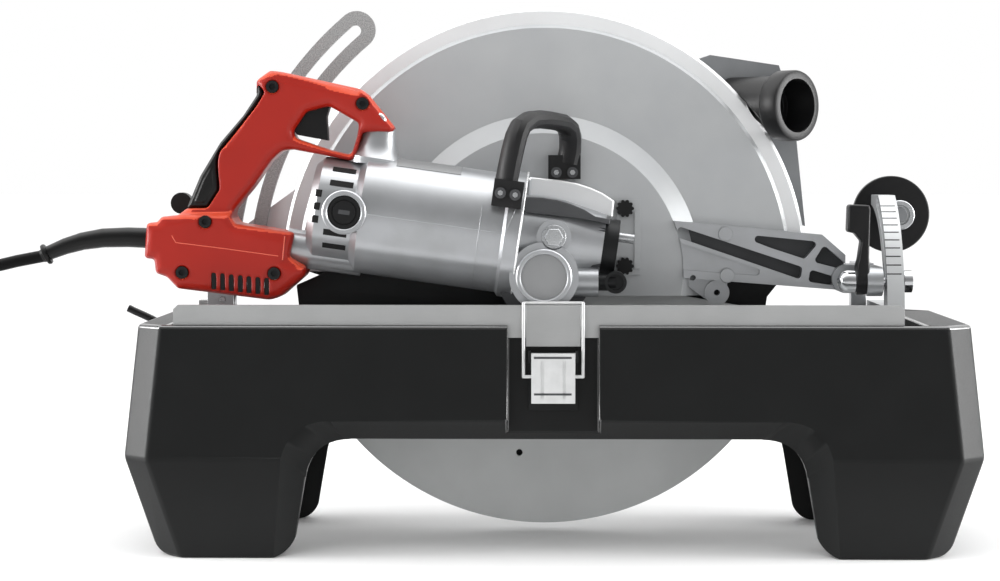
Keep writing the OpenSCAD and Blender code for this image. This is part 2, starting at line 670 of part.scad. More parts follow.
module guard_arm() color("#b9babb") at_arbor() difference() {
    union() {
        plate_y(arm_y + arm_t - arm_web, arm_y + arm_t) arm_area(arm_outline_shares);
        plate_y(arm_y, arm_y + arm_t) difference() {
            arm_area(arm_outline_shares);
            for (p = arm_pocket_shares) rounded(arm_rib / 2) arm_area(p);
        }
        // Lower lugs
        plate_y(arm_y + arm_t - arm_foot_t, arm_y + arm_t) arm_area(arm_foot_shares);
        for (i = [0, 1]) at_arm(arm_lug_shares[i])
            rod_y(arm_lug_r[i], arm_y + arm_t - arm_foot_t - arm_step * i, arm_y + arm_t);
        translate([pivot[0], 0, pivot[1]]) rod_y(arm_eye_r, arm_y, arm_y + arm_t);
    }
    translate([pivot[0], 0, pivot[1]]) rod_y(pivot_r + running, arm_y - overrun, arm_y + arm_t + overrun);
    plate_y(arm_y - overrun, arm_y + arm_step) rounded(arm_rib / 2) arm_area(arm_dip_shares);
    // Room for the drum's cone
    translate([0, face_y, 0]) rotate([-90, 0, 0])
        cylinder(r1 = drum_r + slip, r2 = drum_base_r + slip, h = drum_rise);
    rod_y(drum_r + slip, arm_y - overrun, face_y);
    for (s = arm_bolt_shares) at_arm(s) rod_y(screw_r, arm_y - overrun, arm_y + arm_t + overrun);
    for (s = arm_lug_shares) at_arm(s) rod_y(arm_lug_bore, arm_y - overrun, arm_y + arm_t + overrun);
    // The end is round about the pivot, clear of the bracket at every depth
    translate([pivot[0], 0, pivot[1]]) difference() {
        slab([0, arm_y - overrun, -foot_l], [foot_l, 0, foot_l]);
        rod_y(arm_eye_r, arm_y, arm_y + arm_t);
    }
}
module arm_bolts() color("#8f9193") at_arbor()
    for (s = arm_bolt_shares) at_arm(s) {
        rod_y(screw_r, arm_y, arm_y + arm_t);
        rod_y(arm_boss, arm_y - screw_head_t, arm_y);
    }
collar_t = 5;
collar_l = 8;
peep_r = 2.7;
peep_z = -156;
peep_x = -21;
module lower_guard() color("#7e8080") at_arbor() {
    difference() {
        intersection() {
            revolve_y() polygon([
                [nose_r + running, -lower_half], [lower_out, -lower_half], [lower_out, lower_half],
                [window_r, lower_half], [window_r, lower_half - lower_wall],
                [lower_in, lower_half - lower_wall],
                [lower_in, -lower_half + lower_wall], [nose_r + running, -lower_half + lower_wall]]);
            plate_y(-2 * lower_half, 2 * lower_half)
                sector(lower_out, -90 - lower_arc / 2, -90 + lower_arc / 2);
        }
        translate([peep_x, 0, peep_z]) rod_y(peep_r, -2 * lower_half, 0);
    }
    revolve_y() translate([nose_r + running, -lower_half - collar_l])
        square([collar_t, collar_l + lower_wall]);
}

// Blade and its clamping
function tooth(i) = let(p = 360 / blade_teeth, a = p * i, base = blade_r - gullet_depth) [
    blade_r * [cos(a), sin(a)], base * [cos(a + 0.12 * p), sin(a + 0.12 * p)],
    base * [cos(a + 0.4 * p), sin(a + 0.4 * p)],
    (blade_r - blade_t) * [cos(a + 0.82 * p), sin(a + 0.82 * p)]];
module blade() color("#1d1d1f") at_arbor() plate_y(-blade_t / 2, blade_t / 2) difference() {
    polygon([for (i = [0:blade_teeth - 1]) for (p = tooth(i)) p]);
    circle(arbor_d / 2 + running);
}
clamp_bolt_r = 6;
clamp_bolt_l = 22;
clamp_head_r = 12;
clamp_head_t = 8;
module blade_flanges() color("#77797b") at_arbor() {
    difference() {
        rod_y(flange_d / 2, -blade_t / 2 - flange_t, -blade_t / 2);
        rod_y(arbor_d / 2 + running, -guard_near, guard_far);
    }
    difference() {
        rod_y(flange_d / 2, blade_t / 2, blade_t / 2 + flange_t);
        rod_y(clamp_bolt_r + running, 0, guard_far);
    }
}
module blade_bolt() color("#3c3e40") at_arbor() {
    rod_y(clamp_bolt_r, blade_t / 2 - clamp_bolt_l, blade_t / 2 + flange_t);
    translate([0, blade_t / 2 + flange_t, 0]) rotate([-90, 0, 0])
        cylinder(r = clamp_head_r, h = clamp_head_t, $fn = 6);
}
shaft_over = 16;
shaft_out = wheel_w / 2 + shaft_over;
module arbor_shaft() color("#9a9c9e") at_arbor() difference() {
    rod_y(arbor_d / 2, -motor_out - shaft_out, blade_t / 2);
    rod_y(clamp_bolt_r + running, blade_t / 2 - clamp_bolt_l - overrun, guard_far);
}
// Worm gear pair: helical wheel on the arbor, threaded worm on the motor shaft
wheel_r = gear_m * wheel_teeth / 2;
gear_c = wheel_r + worm_d / 2;
worm_lead = PI * gear_m * worm_starts;
addendum = 0.9 * gear_m;
dedendum = 1.15 * gear_m;
flank = tan(20);
worm_turns = 2;
worm_l = worm_turns * worm_lead;
tooth_half = (PI * gear_m - backlash) / 4;
wheel_twist = wheel_w * worm_lead / (PI * worm_d) / wheel_r * 180 / PI;
function gear_tooth(i) = let(a = 360 * i / wheel_teeth,
        tip = (tooth_half - addendum * flank) / (wheel_r + addendum) * 180 / PI,
        root = (tooth_half + dedendum * flank) / (wheel_r - dedendum) * 180 / PI)
    [(wheel_r - dedendum) * [cos(a - root), sin(a - root)],
     (wheel_r + addendum) * [cos(a - tip), sin(a - tip)],
     (wheel_r + addendum) * [cos(a + tip), sin(a + tip)],
     (wheel_r - dedendum) * [cos(a + root), sin(a + root)]];
function thread_lobe(i) = let(a = 360 * i / worm_starts, k = 360 / worm_lead, r = worm_d / 2,
        tip = (tooth_half - addendum * flank) * k, root = (tooth_half + dedendum * flank) * k,
        next = a + 360 / worm_starts - root)
    [(r - dedendum) * [cos(a - root), sin(a - root)], (r + addendum) * [cos(a - tip), sin(a - tip)],
     (r + addendum) * [cos(a + tip), sin(a + tip)], (r - dedendum) * [cos(a + root), sin(a + root)],
     (r - dedendum) * [cos((a + root + next) / 2), sin((a + root + next) / 2)]];
module worm_wheel() color("#b08d4a") at_arbor() translate([0, -motor_out, 0]) rotate([0, motor_tilt, 0])
    rotate([-90, 0, 0]) difference() {
        rotate(-90 - wheel_twist / 2) translate([0, 0, -wheel_w / 2])
            linear_extrude(wheel_w, twist = -wheel_twist, slices = 4)
                polygon([for (i = [0:wheel_teeth - 1]) for (p = gear_tooth(i)) p]);
        rod_z(arbor_d / 2 + running, -wheel_w, wheel_w);
    }
bearing_w = 9;
arbor_race_r = 22;
nose_race_r = 24;
nose_race_y = -36;
module ring_y(r_in, r_out, from, to) difference() {
    rod_y(r_out, from, to);
    rod_y(r_in, from - overrun, to + overrun);
}
module arbor_bearings() color("#c3c5c7") at_arbor() {
    ring_y(arbor_d / 2 + running, arbor_race_r, -motor_out - shaft_out, -motor_out - shaft_out + bearing_w);
    ring_y(arbor_d / 2 + running, nose_race_r, nose_race_y, nose_race_y + bearing_w);
}

// Gear housing
housing_r = 38;
tube_r = 34;
tube_nose_r = 27;
tube_full = -8;
tube_front = -44;
tube_rear = 30;
mate_r = 52;
mate_t = 6;
wheel_room = 2;
worm_room = 1.6;
cap_boss_r = 28;
cap_boss_l = 20;
near_end = -motor_out - shaft_out - cap_boss_l;
cap_r = 22.5;
cap_t = 4;
plug_x = 8;
plug_z = 32;
plug_boss_r = 14;
plug_boss_l = 5;
plug_y = -motor_out - tube_r - plug_boss_l;
front_race_r = 13;
rear_race_r = 16;
shaft_r = 7;
shelf_r = 12;
shelf_to = 44;
shelf_out = 23;
shelf_y = -motor_out - shelf_out;
shelf_z = -5;
lock_r = 4;
lock_up = 10;
lock_l = 13;
lock_travel = 5;
cap_end_t = 12;
cap_end_r = 24;
module gear_housing() color("#b7b9ba") difference() {
    union() {
        at_arbor() {
            rod_y(housing_r, -motor_out - shaft_out, face_y);
            rod_y(cap_boss_r, near_end, -motor_out - shaft_out + overrun);
            rod_y(nose_r, face_y - overrun, nose_end);
            translate([plug_x, 0, plug_z]) rod_y(plug_boss_r, plug_y, -motor_out);
            translate([0, shelf_y, shelf_z]) rod_x(shelf_r, 0, shelf_to);
        }
        at_motor() {
            rotate_extrude() polygon([[0, tube_front], [tube_nose_r, tube_front], [tube_r, tube_full],
                [tube_r, tube_rear - mate_t], [mate_r, tube_rear - mate_t], [mate_r, tube_rear],
                [0, tube_rear]]);
        }
    }
    at_arbor() {
        translate([0, -motor_out, 0])
            rod_y(wheel_r + addendum + wheel_room, -wheel_w / 2 - wheel_room, wheel_w / 2 + wheel_room);
        rod_y(arbor_d / 2 + 2 * slip, -motor_out - shaft_out, guard_far);
        rod_y(arbor_race_r + running, near_end - overrun, -motor_out - shaft_out + bearing_w);
        rod_y(nose_race_r + running, nose_race_y, nose_end + overrun);
        translate([plug_x, 0, plug_z]) {
            rod_y(plug_r + running, plug_y - overrun, plug_y + plug_l);
            rod_y(plug_washer_r + slip, near_end - overrun, plug_y);
        }
    }
    at_motor() {
        rod_z(worm_d / 2 + addendum + worm_room, tube_front + bearing_w, tube_rear - bearing_w - overrun);
        rod_z(front_race_r + running, tube_front - overrun, tube_front + bearing_w + overrun);
        rod_z(rear_race_r + running, tube_rear - bearing_w - overrun, tube_rear + overrun);
        // Face of the motor flange
        rod_z(mate_r + slip, tube_rear, motor_l);
    }
}
button_x = 58;
button_r = 9;
button_t = 16;
knob_x = 68;
knob_z = [5.4, 53.8];
knob_r = 7.5;
knob_t = 8;
module front_cap() color("#3a3c3e") {
    at_motor() difference() {
        rod_z(cap_end_r, tube_front - cap_end_t, tube_front);
        translate([lock_up, 0, 0]) rod_z(lock_r + running, tube_front - 2 * cap_end_t, tube_front + overrun);
    }
    // Switch stub and button at the end of the lower tube
    at_arbor() translate([0, shelf_y, shelf_z]) {
        rod_x(shelf_r - 2 * edge, shelf_to, button_x);
        translate([button_x, 0, 0]) difference() {
            rod_y(button_r, -button_t / 2, button_t / 2);
            rod_y(button_r - edge, -button_t, -button_t / 2 + edge);
        }
    }
}
module star(r, lobes) union() {
    circle(r * 0.82);
    for (i = [0:lobes - 1]) rotate(360 * i / lobes) translate([r * 0.82, 0]) circle(r * 0.18);
}
module cap_knobs() color("#1b1b1b") at_arbor() for (z = knob_z) translate([knob_x, 0, z]) {
    plate_y(face_y - pad_t - knob_t, face_y - pad_t) star(knob_r, 10);
    rod_y(screw_r, face_y - pad_t - overrun, face_y);
}
// Curved shield over the gear housing
shield_r = 89;
shield_c = [-12, -10];
shield_in_r = 85.5;
shield_in_c = [-20, -20];
shield_floor = 46;
shield_near = -68;
module gear_shield() color("#cfd0d1") at_arbor() plate_y(shield_near, face_y) difference() {
    intersection() {
        translate(shield_c) circle(shield_r);
        translate([shield_c[0], shield_floor]) square(shield_r);
    }
    translate(shield_in_c) circle(shield_in_r);
}
module oil_cap() color("#c6c8c9") at_arbor() difference() {
    union() {
        rod_y(cap_r, near_end - cap_t, near_end);
        rod_y(arbor_race_r, near_end, near_end + cap_t);
    }
    rod_y(cap_r - edge, near_end - cap_t - overrun, near_end - cap_t + cap_t / 4);
}
plug_r = 6;
plug_l = 12;
plug_head_r = 9.5;
plug_washer_r = 10;
plug_head_t = 6;
module oil_plug() color("#b9bbbc") at_arbor() translate([plug_x, plug_y, plug_z]) {
    rod_y(plug_r, 0, plug_l - overrun);
    rod_y(plug_washer_r, -plug_head_t / 3, 0);
    translate([0, -plug_head_t, 0]) rotate([-90, 0, 0]) cylinder(r = plug_head_r, h = plug_head_t, $fn = 6);
}
module spindle_lock() color("#d6d7d8") at_motor() translate([lock_up, 0, 0])
    rod_z(lock_r, tube_front - cap_end_t - lock_l, tube_front - lock_travel - slip);

// Motor
motor_r = motor_d / 2;
motor_wall = 6;
bore_r = motor_r - motor_wall;
core_from = 62;
core_to = 124;
core_r = 27.8;
air_gap = 0.8;
brush_t = 166;
brush_half = 5;
brush_w = 8;
comm_r = 15;
comm_from = 154;
comm_to = 178;
brush_cap_r = 13;
brush_ring_r = 17;
brush_in = 30;
brush_out = 47;
bell_r = 42;
bell_from = 160;
bell_bore = 35;
rear_wall = 12;
tail_r = 15.5;
tail_down = 36;
tail_from = 150;
tail_to = 213;
neck_r = 13;
neck_t = 150;
neck_up = 72;
end_taper = 6;
vent_h = 4;
vent_l = 17;
vent_up = [33, 22, -18, -29];
module motor_housing() color("#b9bbbd") at_motor() difference() {
    union() {
        rotate_extrude() polygon([
            [0, tube_rear], [mate_r, tube_rear], [mate_r, tube_rear + mate_t],
            [motor_r, tube_rear + mate_t + edge],
            [motor_r, bell_from - end_taper], [bell_r, bell_from], [bell_r, motor_l - end_taper],
            [bell_r - end_taper, motor_l], [0, motor_l]]);
        translate([-tail_down, 0, 0]) rod_z(tail_r, tail_from, tail_to);
        translate([0, 0, neck_t]) rod_x(neck_r, motor_r - 2 * end_taper, neck_up);
        translate([0, 0, brush_t]) rod_y(brush_ring_r, -brush_out + edge, brush_out - edge);
    }
    rod_z(bore_r, tube_rear - overrun, tail_from);
    rod_z(bell_bore, tube_rear, motor_l - rear_wall);
    rod_z(rear_seat_r + running, motor_l - rear_wall - overrun, motor_l - edge);
    translate([0, 0, brush_t]) rod_y(brush_cap_r + running, -brush_out - overrun, brush_out + overrun);
    for (x = vent_up) for (s = [-1, 1]) translate([x, s * bell_r, brush_t + end_taper])
        cube([vent_h, bell_r, vent_l], center = true);
}
rear_seat_r = 14;
module ring_z(r_in, r_out, from, to) difference() {
    rod_z(r_out, from, to);
    rod_z(r_in, from - overrun, to + overrun);
}
module field_stator() color("#7c6a58") at_motor()
    ring_z(core_r + air_gap, bore_r - running, core_from - edge, core_to + edge);
module armature_shaft() color("#a7a9ab") at_motor() {
    rod_z(shaft_r, tube_front + overrun, -worm_l / 2 + overrun);
    rotate(-180 * worm_turns) translate([0, 0, -worm_l / 2])
        linear_extrude(worm_l, twist = -360 * worm_turns, slices = 16 * worm_turns)
            polygon([for (i = [0:worm_starts - 1]) for (p = thread_lobe(i)) p]);
    rod_z(shaft_r, worm_l / 2 - overrun, motor_l - 2 * edge);
}
module armature_core() color("#8a5a3a") at_motor() difference() {
    ring_z(shaft_r + running, core_r, core_from, core_to);
    for (i = [0:11]) rotate(30 * i) translate([core_r, 0, core_from])
        slab([-edge, -air_gap, -overrun], [edge, air_gap, core_to]);
}
module commutator() color("#b87333") at_motor() ring_z(shaft_r + running, comm_r, comm_from, comm_to);
fan_from = 40;
fan_to = 52;
fan_r = 39;
fan_hub_r = 14;
fan_blades = 8;
module cooling_fan() color("#2c2c2c") at_motor() difference() {
    union() {
        rod_z(fan_hub_r, fan_from, fan_to);
        rod_z(fan_r, fan_from, fan_from + edge);
        for (i = [0:fan_blades - 1]) rotate(360 * i / fan_blades)
            slab([fan_hub_r - edge, -edge / 2, fan_from + edge / 2], [fan_r - edge, edge / 2, fan_to - edge]);
    }
    rod_z(shaft_r + running, 0, motor_l);
}
module motor_bearings() color("#c3c5c7") at_motor() {
    ring_z(shaft_r + running, front_race_r, tube_front, tube_front + bearing_w);
    ring_z(shaft_r + running, rear_race_r, tube_rear - bearing_w, tube_rear);
    ring_z(shaft_r + running, rear_seat_r, motor_l - rear_wall, motor_l - rear_wall + bearing_w);
}
module carbon_brushes() color("#2a2a2a") at_motor() for (s = [-1, 1])
    translate([0, s * (comm_r + slip + brush_in) / 2, brush_t])
    cube([brush_w, brush_in - comm_r - slip, 2 * brush_half], center = true);
module brush_caps() color("#1f1f1f") at_motor() translate([0, 0, brush_t])
    for (s = [-1, 1]) rotate([s * 90, 0, 0]) difference() {
    rod_z(brush_cap_r, brush_in, brush_out);
    translate([0, 0, brush_out]) cube([brush_w, edge / 2, edge], center = true);
}

// Rear handle: two shells that meet on the motor's middle plane
handle_low = [-326, -20];
handle_shares = [
    [0.446, 0.957], [0.5, 1], [0.545, 0.995], [0.86, 0.92], [0.89, 0.895], [1, 0.745], [0.985, 0.73],
    [0.866, 0.73], [0.839, 0.609], [0.815, 0.607], [0.733, 0.627], [0.586, 0.657], [0.545, 0.65],
    [0.505, 0.61], [0.432, 0.496], [0.359, 0.4], [0.347, 0.364], [0.365, 0.332], [0.6, 0.295],
    [0.579, 0.189], [0.646, 0.145], [0.639, 0.109], [0.54, 0.013], [0.5, 0], [0.132, 0.05],
    [0.089, 0.101], [0.045, 0.116], [0.039, 0.18], [0, 0.18], [0.01, 0.338], [0.052, 0.338],
    [0.069, 0.364], [0.132, 0.368], [0.165, 0.4], [0.219, 0.54], [0.3, 0.686], [0.392, 0.803],
    [0.446, 0.891]];
loop_shares = [[0.735, 0.845], [0.855, 0.77], [0.845, 0.71], [0.822, 0.632], [0.735, 0.655], [0.6, 0.705],
    [0.592, 0.735], [0.645, 0.82]];
overmould_shares = [[0.452, 0.945], [0.446, 0.891], [0.392, 0.803], [0.3, 0.686], [0.219, 0.54], [0.165, 0.4],
    [0.252, 0.401], [0.299, 0.481], [0.292, 0.6], [0.299, 0.642], [0.446, 0.84], [0.482, 0.905]];
box_top_share = 0.385;
handle_edge = 5;
handle_wall = 4;
module handle_area(shares) polygon(scaled(shares, [handle_l, handle_h], handle_low));
module soft_plate(half, r) for (k = [[0, 1], [0.3, 0.3], [1, 0]])
    plate_y(-half + k[1] * r, half - k[1] * r) offset(delta = -k[0] * r) children();
module grip_half_space(side) translate([0, -motor_out, 0])
    slab([-foot_l, side < 0 ? -box_w : 0, -foot_l], [foot_l, side < 0 ? 0 : box_w, foot_l]);
module box_area() intersection() {
    rounded(edge) handle_area(handle_shares);
    translate(handle_low) square([handle_l, handle_h * box_top_share]);
}
module handle_solid() translate([0, -motor_out, 0]) difference() {
    union() {
        soft_plate(grip_w / 2, handle_edge) difference() {
            rounded(edge) handle_area(handle_shares);
            rounded(edge) handle_area(loop_shares);
        }
        soft_plate(box_w / 2, handle_edge) box_area();
    }
    plate_y(-box_w / 2 + handle_wall, box_w / 2 - handle_wall) offset(delta = -2 * handle_wall) box_area();
    plate_y(-box_w, box_w) handle_area(overmould_shares);
    trigger_room();
    for (i = [0:len(screw_shares) - 1]) screw_place(i) {
        rod_y(handle_screw_r + running, -handle_screw_r, 0);
        rod_y(handle_shank_r + running, -overrun, grip_w);
    }
    relief_place() rod_z(relief_r + running, -relief_in - overrun, relief_l);
    for (i = [0:6]) translate(vent_at(i))
        cube([vent_h / 2 + edge / 2, 3 * box_w, vent_l * 0.8], center = true);
}
function vent_at(i) = [handle_low[0] + handle_l * (0.28 + 0.035 * i), 0,
    handle_low[1] + handle_h * (0.085 - 0.004 * i)];
module motor_room() translate([-arbor_x, -blade_y, -arbor_z]) at_motor() {
    rod_z(bell_r + running, bell_from, motor_l + running);
    rod_z(motor_r + running, tube_rear, bell_from + running);
    translate([-tail_down, 0, 0]) rod_z(tail_r + running, tail_from, tail_to + running);
    translate([0, 0, neck_t]) rod_x(neck_r + running, 0, neck_up + running);
}
module handle_near() color("#b02c22") at_arbor() difference() {
    intersection() {
        handle_solid();
        grip_half_space(-1);
    }
    motor_room();
}
module handle_far() color("#b02c22") at_arbor() difference() {
    intersection() {
        handle_solid();
        grip_half_space(1);
    }
    motor_room();
}
module grip_overmould() color("#232323") at_arbor() translate([0, -motor_out, 0])
    soft_plate(grip_w / 2, handle_edge) offset(delta = -running) handle_area(overmould_shares);
handle_screw_r = 5;
handle_shank_r = 2;
screw_shares = [[0.512, 0.928], [0.87, 0.855], [0.247, 0.342], [0.154, 0.121], [0.52, 0.117]];
function in_box(i) = screw_shares[i][1] < box_top_share;
module screw_place(i) {
    p = scaled([screw_shares[i]], [handle_l, handle_h], handle_low)[0];
    translate([p[0], in_box(i) ? -box_w / 2 + handle_edge : -grip_w / 2 + handle_edge, p[1]]) children();
}
module handle_screws() color("#1d1d1d") at_arbor() translate([0, -motor_out, 0])
    for (i = [0:len(screw_shares) - 1]) screw_place(i) {
        rod_y(handle_screw_r, -handle_screw_r, 0);
        rod_y(handle_shank_r, -overrun, grip_w / 2);
    }
trigger_w = 15;
trigger_pin_r = 2.5;
trigger_pin_l = 11;
trigger_travel = 9;
trigger_pivot_share = [0.69, 0.86];
trigger_shares = [[0.69, 0.885], [0.735, 0.845], [0.722, 0.8], [0.728, 0.695], [0.605, 0.72], [0.592, 0.738],
    [0.645, 0.83], [0.66, 0.875]];
function trigger_pivot() = scaled([trigger_pivot_share], [handle_l, handle_h], handle_low)[0];
module trigger_turned(a) translate(trigger_pivot()) rotate(-a) translate(-trigger_pivot()) children();
module trigger_room() {
    for (a = [0:trigger_travel / 6:trigger_travel]) plate_y(-trigger_w / 2 - slip, trigger_w / 2 + slip)
        trigger_turned(a) offset(delta = slip) handle_area(trigger_shares);
    translate([trigger_pivot()[0], 0, trigger_pivot()[1]])
        rod_y(trigger_pin_r + running, -trigger_pin_l - slip, trigger_pin_l + slip);
}
module trigger() color("#2a2a2a") at_arbor() translate([0, -motor_out, 0]) {
    plate_y(-trigger_w / 2, trigger_w / 2) handle_area(trigger_shares);
    translate([trigger_pivot()[0], 0, trigger_pivot()[1]])
        rod_y(trigger_pin_r, -trigger_pin_l, trigger_pin_l);
}
relief_r = 9;
relief_in = 8;
relief_l = 92;
relief_dip = 9;
relief_end = 12;
relief_at = [-322, 29.5];
module relief_place() translate([relief_at[0], 0, relief_at[1]]) rotate([0, -90 - relief_dip, 0]) children();
module strain_relief() color("#1b1b1b") at_arbor() translate([0, -motor_out, 0]) relief_place()
    rotate_extrude() polygon([
        [0, -relief_in], [relief_r, -relief_in], [relief_r, relief_in],
        [relief_r - edge, relief_l - relief_end],
        [relief_r - edge / 2, relief_l - relief_end], [relief_r - edge / 2, relief_l - edge],
        [relief_r - edge, relief_l], [0, relief_l]]);

// Sweep of an oval section along a path, with side held in the section's first direction
function unit(v) = v / norm(v);
function heading(path, i) = unit(path[min(i + 1, len(path) - 1)] - path[max(i - 1, 0)]);
function oval(p, t, side, a, b, n) = let(u = unit(side - (side * t) * t), w = cross(t, u))
    [for (k = [0:n - 1]) p + a * cos(360 * k / n) * u + b * sin(360 * k / n) * w];
module swept(path, side, a, b, n) {
    m = len(path);
    polyhedron(
        points = [for (i = [0:m - 1]) for (p = oval(path[i], heading(path, i), side, a, b, n)) p],
        faces = concat([[for (k = [0:n - 1]) k]], [[for (k = [0:n - 1]) m * n - 1 - k]],
            [for (i = [0:m - 2]) for (k = [0:n - 1]) each [
                [i * n + k, (i + 1) * n + k, i * n + (k + 1) % n],
                [i * n + (k + 1) % n, (i + 1) * n + k, (i + 1) * n + (k + 1) % n]]]));
}
// Front handle: rubber strap between two bolted blocks
strap_out = 46;
strap_low = [-38, -motor_out - strap_out, 62];
strap_size = [62, 90, 65];
strap_shares = [[0.08, 0.04, 0], [0.12, 0.02, 0.2], [0.165, 0.02, 0.42], [0.21, 0.03, 0.62],
    [0.255, 0.05, 0.79], [0.31, 0.09, 0.91], [0.42, 0.17, 0.985], [0.56, 0.3, 1], [0.7, 0.46, 0.99],
    [0.84, 0.64, 0.97], [0.93, 0.77, 0.91], [0.965, 0.85, 0.8], [0.965, 0.9, 0.63], [0.93, 0.91, 0.46]];
strap_path = [for (s = strap_shares) [for (k = [0:2]) strap_low[k] + s[k] * strap_size[k]]];
near_low = [22, -54, 26];
near_size = [22, 20, 24];
far_out = 21;
far_low = [3.5, face_y - far_out, 78.4];
far_size = [27, far_out, 20];
block_screw_shares = [0.25, 0.75];
far_screw_share = 0.28;
module front_handle() color("#333333") difference() {
    union() {
        at_arbor() {
            swept(strap_path, [strap_size[1], -strap_size[0], 0], strap_w / 2, strap_t / 2, 12);
            slab(far_low, far_low + far_size);
        }
        at_motor() slab(near_low, near_low + near_size);
    }
    at_motor() rod_z(mate_r + running, 0, motor_l);
}
grip_screw_r = 4.5;
module front_handle_screws() color("#1a1a1a") {
    at_motor() for (t = block_screw_shares)
        translate(near_low + [near_size[0] / 2, 0, near_size[2] * t]) rod_y(grip_screw_r, -screw_head_t, 0);
    at_arbor() for (t = block_screw_shares)
        translate(far_low + [far_size[0] * t, 0, far_size[2] * far_screw_share])
            rod_y(grip_screw_r, -screw_head_t, 0);
}
// Dust port on the guard's front shoulder
port_at = [212, -40, 140];
port_r = 25.5;
port_bore = 22.5;
port_depth = 26;
port_groove_r = 23.3;
port_groove_l = 3;
port_throat_r = 18;
port_root = 70;
port_plate_y = 6;
port_plate_t = 12;
port_plate_shares = [[0.55, 0.8], [0.64, 0.83], [0.905, 0.79], [0.96, 0.64], [1.01, 0.17], [0.9, 0.2]];
module at_port() translate(port_at) rotate([0, 90, -45]) children();
module dust_port() color("#2b2b2b") at_arbor() difference() {
    union() {
        at_port() rod_z(port_r, -port_root, 0);
        plate_y(port_plate_y, port_plate_y + port_plate_t)
            polygon(scaled(port_plate_shares, [guard_out, guard_out], [0, 0]));
    }
    rod_y(guard_out + running, -foot_near, foot_near);
    at_port() {
        rod_z(port_bore, -port_depth, overrun);
        rod_z(port_groove_r, -port_depth - port_groove_l, -port_depth);
        rod_z(port_throat_r, -port_root - overrun, 0);
    }
}
// Depth clamp
depth_lever_l = 62;
depth_lever_t = 9;
depth_lever_w = 9;
depth_lever_a = 32;
module depth_bolt() color("#8d8f91") at_arbor() translate([clamp_x, 0, clamp_z]) {
    rod_y(clamp_r, bar_y - slip - depth_lever_t - slip, bar_y + bar_t + slip + lug_t + screw_head_t);
    rod_y(clamp_r * 2, bar_y - 2 * slip - depth_lever_t - screw_head_t, bar_y - 2 * slip - depth_lever_t);
    rod_y(clamp_r * 2, bar_y + bar_t + slip + lug_t, bar_y + bar_t + slip + lug_t + screw_head_t);
}
module depth_lever() color("#1c1c1c") at_arbor()
    translate([clamp_x, bar_y - slip - depth_lever_t, clamp_z]) difference() {
    union() {
        rod_y(clamp_r * 2.4, 0, depth_lever_t);
        rotate([0, 180 + depth_lever_a, 0]) {
            slab([0, 0, -depth_lever_w / 2], [depth_lever_l, depth_lever_t, depth_lever_w / 2]);
            translate([depth_lever_l, 0, 0]) rod_y(depth_lever_w, -depth_lever_t / 2, depth_lever_t);
        }
    }
    rod_y(clamp_r + running, -overrun - depth_lever_t, depth_lever_t + overrun);
}

// Cord: lead from the strain relief to the floor, then a stored coil with its tie and plug
cord_r = cord_d / 2;
cord_y = blade_y - motor_out;
cord_lift = 2;
cord_rest = cord_r + cord_lift;
layer_gap = 0.7;
exit_l = relief_l + slip;
cord_exit = [arbor_x + relief_at[0] - exit_l * cos(relief_dip), cord_y,
    arbor_z + relief_at[1] - exit_l * sin(relief_dip)];
lead_route = [[-442, cord_y, 236], [-463, cord_y, 231], [-484, cord_y, 222], [-503, cord_y, 207],
    [-517, cord_y, 187], [-526, cord_y, 162], [-531, cord_y, 132], [-534, cord_y, 102],
    [-538, cord_y, 72], [-546, cord_y, 45], [-560, cord_y, 23], [-579, cord_y, 10]];
coil_x = -612;
coil_step = cord_d + layer_gap;
coil_mid = coil_share * cord_d / 2;
coil_back = coil_turns + 0.25;
coil_out = coil_mid + coil_step * coil_back / 2;
coil_in = coil_mid - coil_step * coil_back / 2;
loop_rings = 24;
coil_c = [coil_x, cord_y + coil_out];
function coil_radius(n) = coil_in + coil_step * abs(n - coil_back);
function coil_height(n) = cord_rest + coil_step * min(1, max(0, 2 * (n - coil_turns)));
function coil_point(n) = [coil_c[0] + coil_radius(n) * cos(-90 - 360 * n),
    coil_c[1] + coil_radius(n) * sin(-90 - 360 * n), coil_height(n)];
coil_total = 2 * coil_turns + 0.5;
coil_end = coil_point(coil_total);
coil_path = concat([coil_point(0) + [cord_d, 0, 0]],
    [for (i = [0:loop_rings * coil_total]) coil_point(i / loop_rings)], [coil_end + [cord_d, 0, 0]]);
coil_near = [for (i = [0:len(coil_path) - 1]) for (j = [i + loop_rings / 2:len(coil_path) - 1])
    norm(coil_path[i] - coil_path[j])];
echo(least_coil_gap = min(coil_near) - cord_d);
module cord_lead() color("#161616")
    swept(concat([cord_exit], lead_route, [for (x = [cord_r, slip]) coil_path[0] + [x, 0, 0]]),
        [0, 1, 0], cord_r, cord_r, 10);
module cord_coil() color("#161616") swept(coil_path, [0, 0, 1], cord_r, cord_r, 6);
tie_t = 1.2;
tie_w = 14;
module cord_tie() color("#2e2e2e") translate([coil_c[0], coil_c[1], 0]) {
    low = cord_rest - cord_r - slip;
    high = cord_rest + coil_step + cord_r + slip;
    difference() {
        slab([-coil_out - cord_r - slip - tie_t, -tie_w / 2, low - tie_t],
             [-coil_in + cord_r + slip + tie_t, tie_w / 2, high + tie_t]);
        slab([-coil_out - cord_r - slip, -tie_w, low], [-coil_in + cord_r + slip, tie_w, high]);
    }
}
plug_body_r = 16.5;
plug_body_l = 46;
plug_neck_l = 26;
pin_l = 18;
pin_w = 6.4;
pin_t = 1.6;
pin_gap = 12.7;
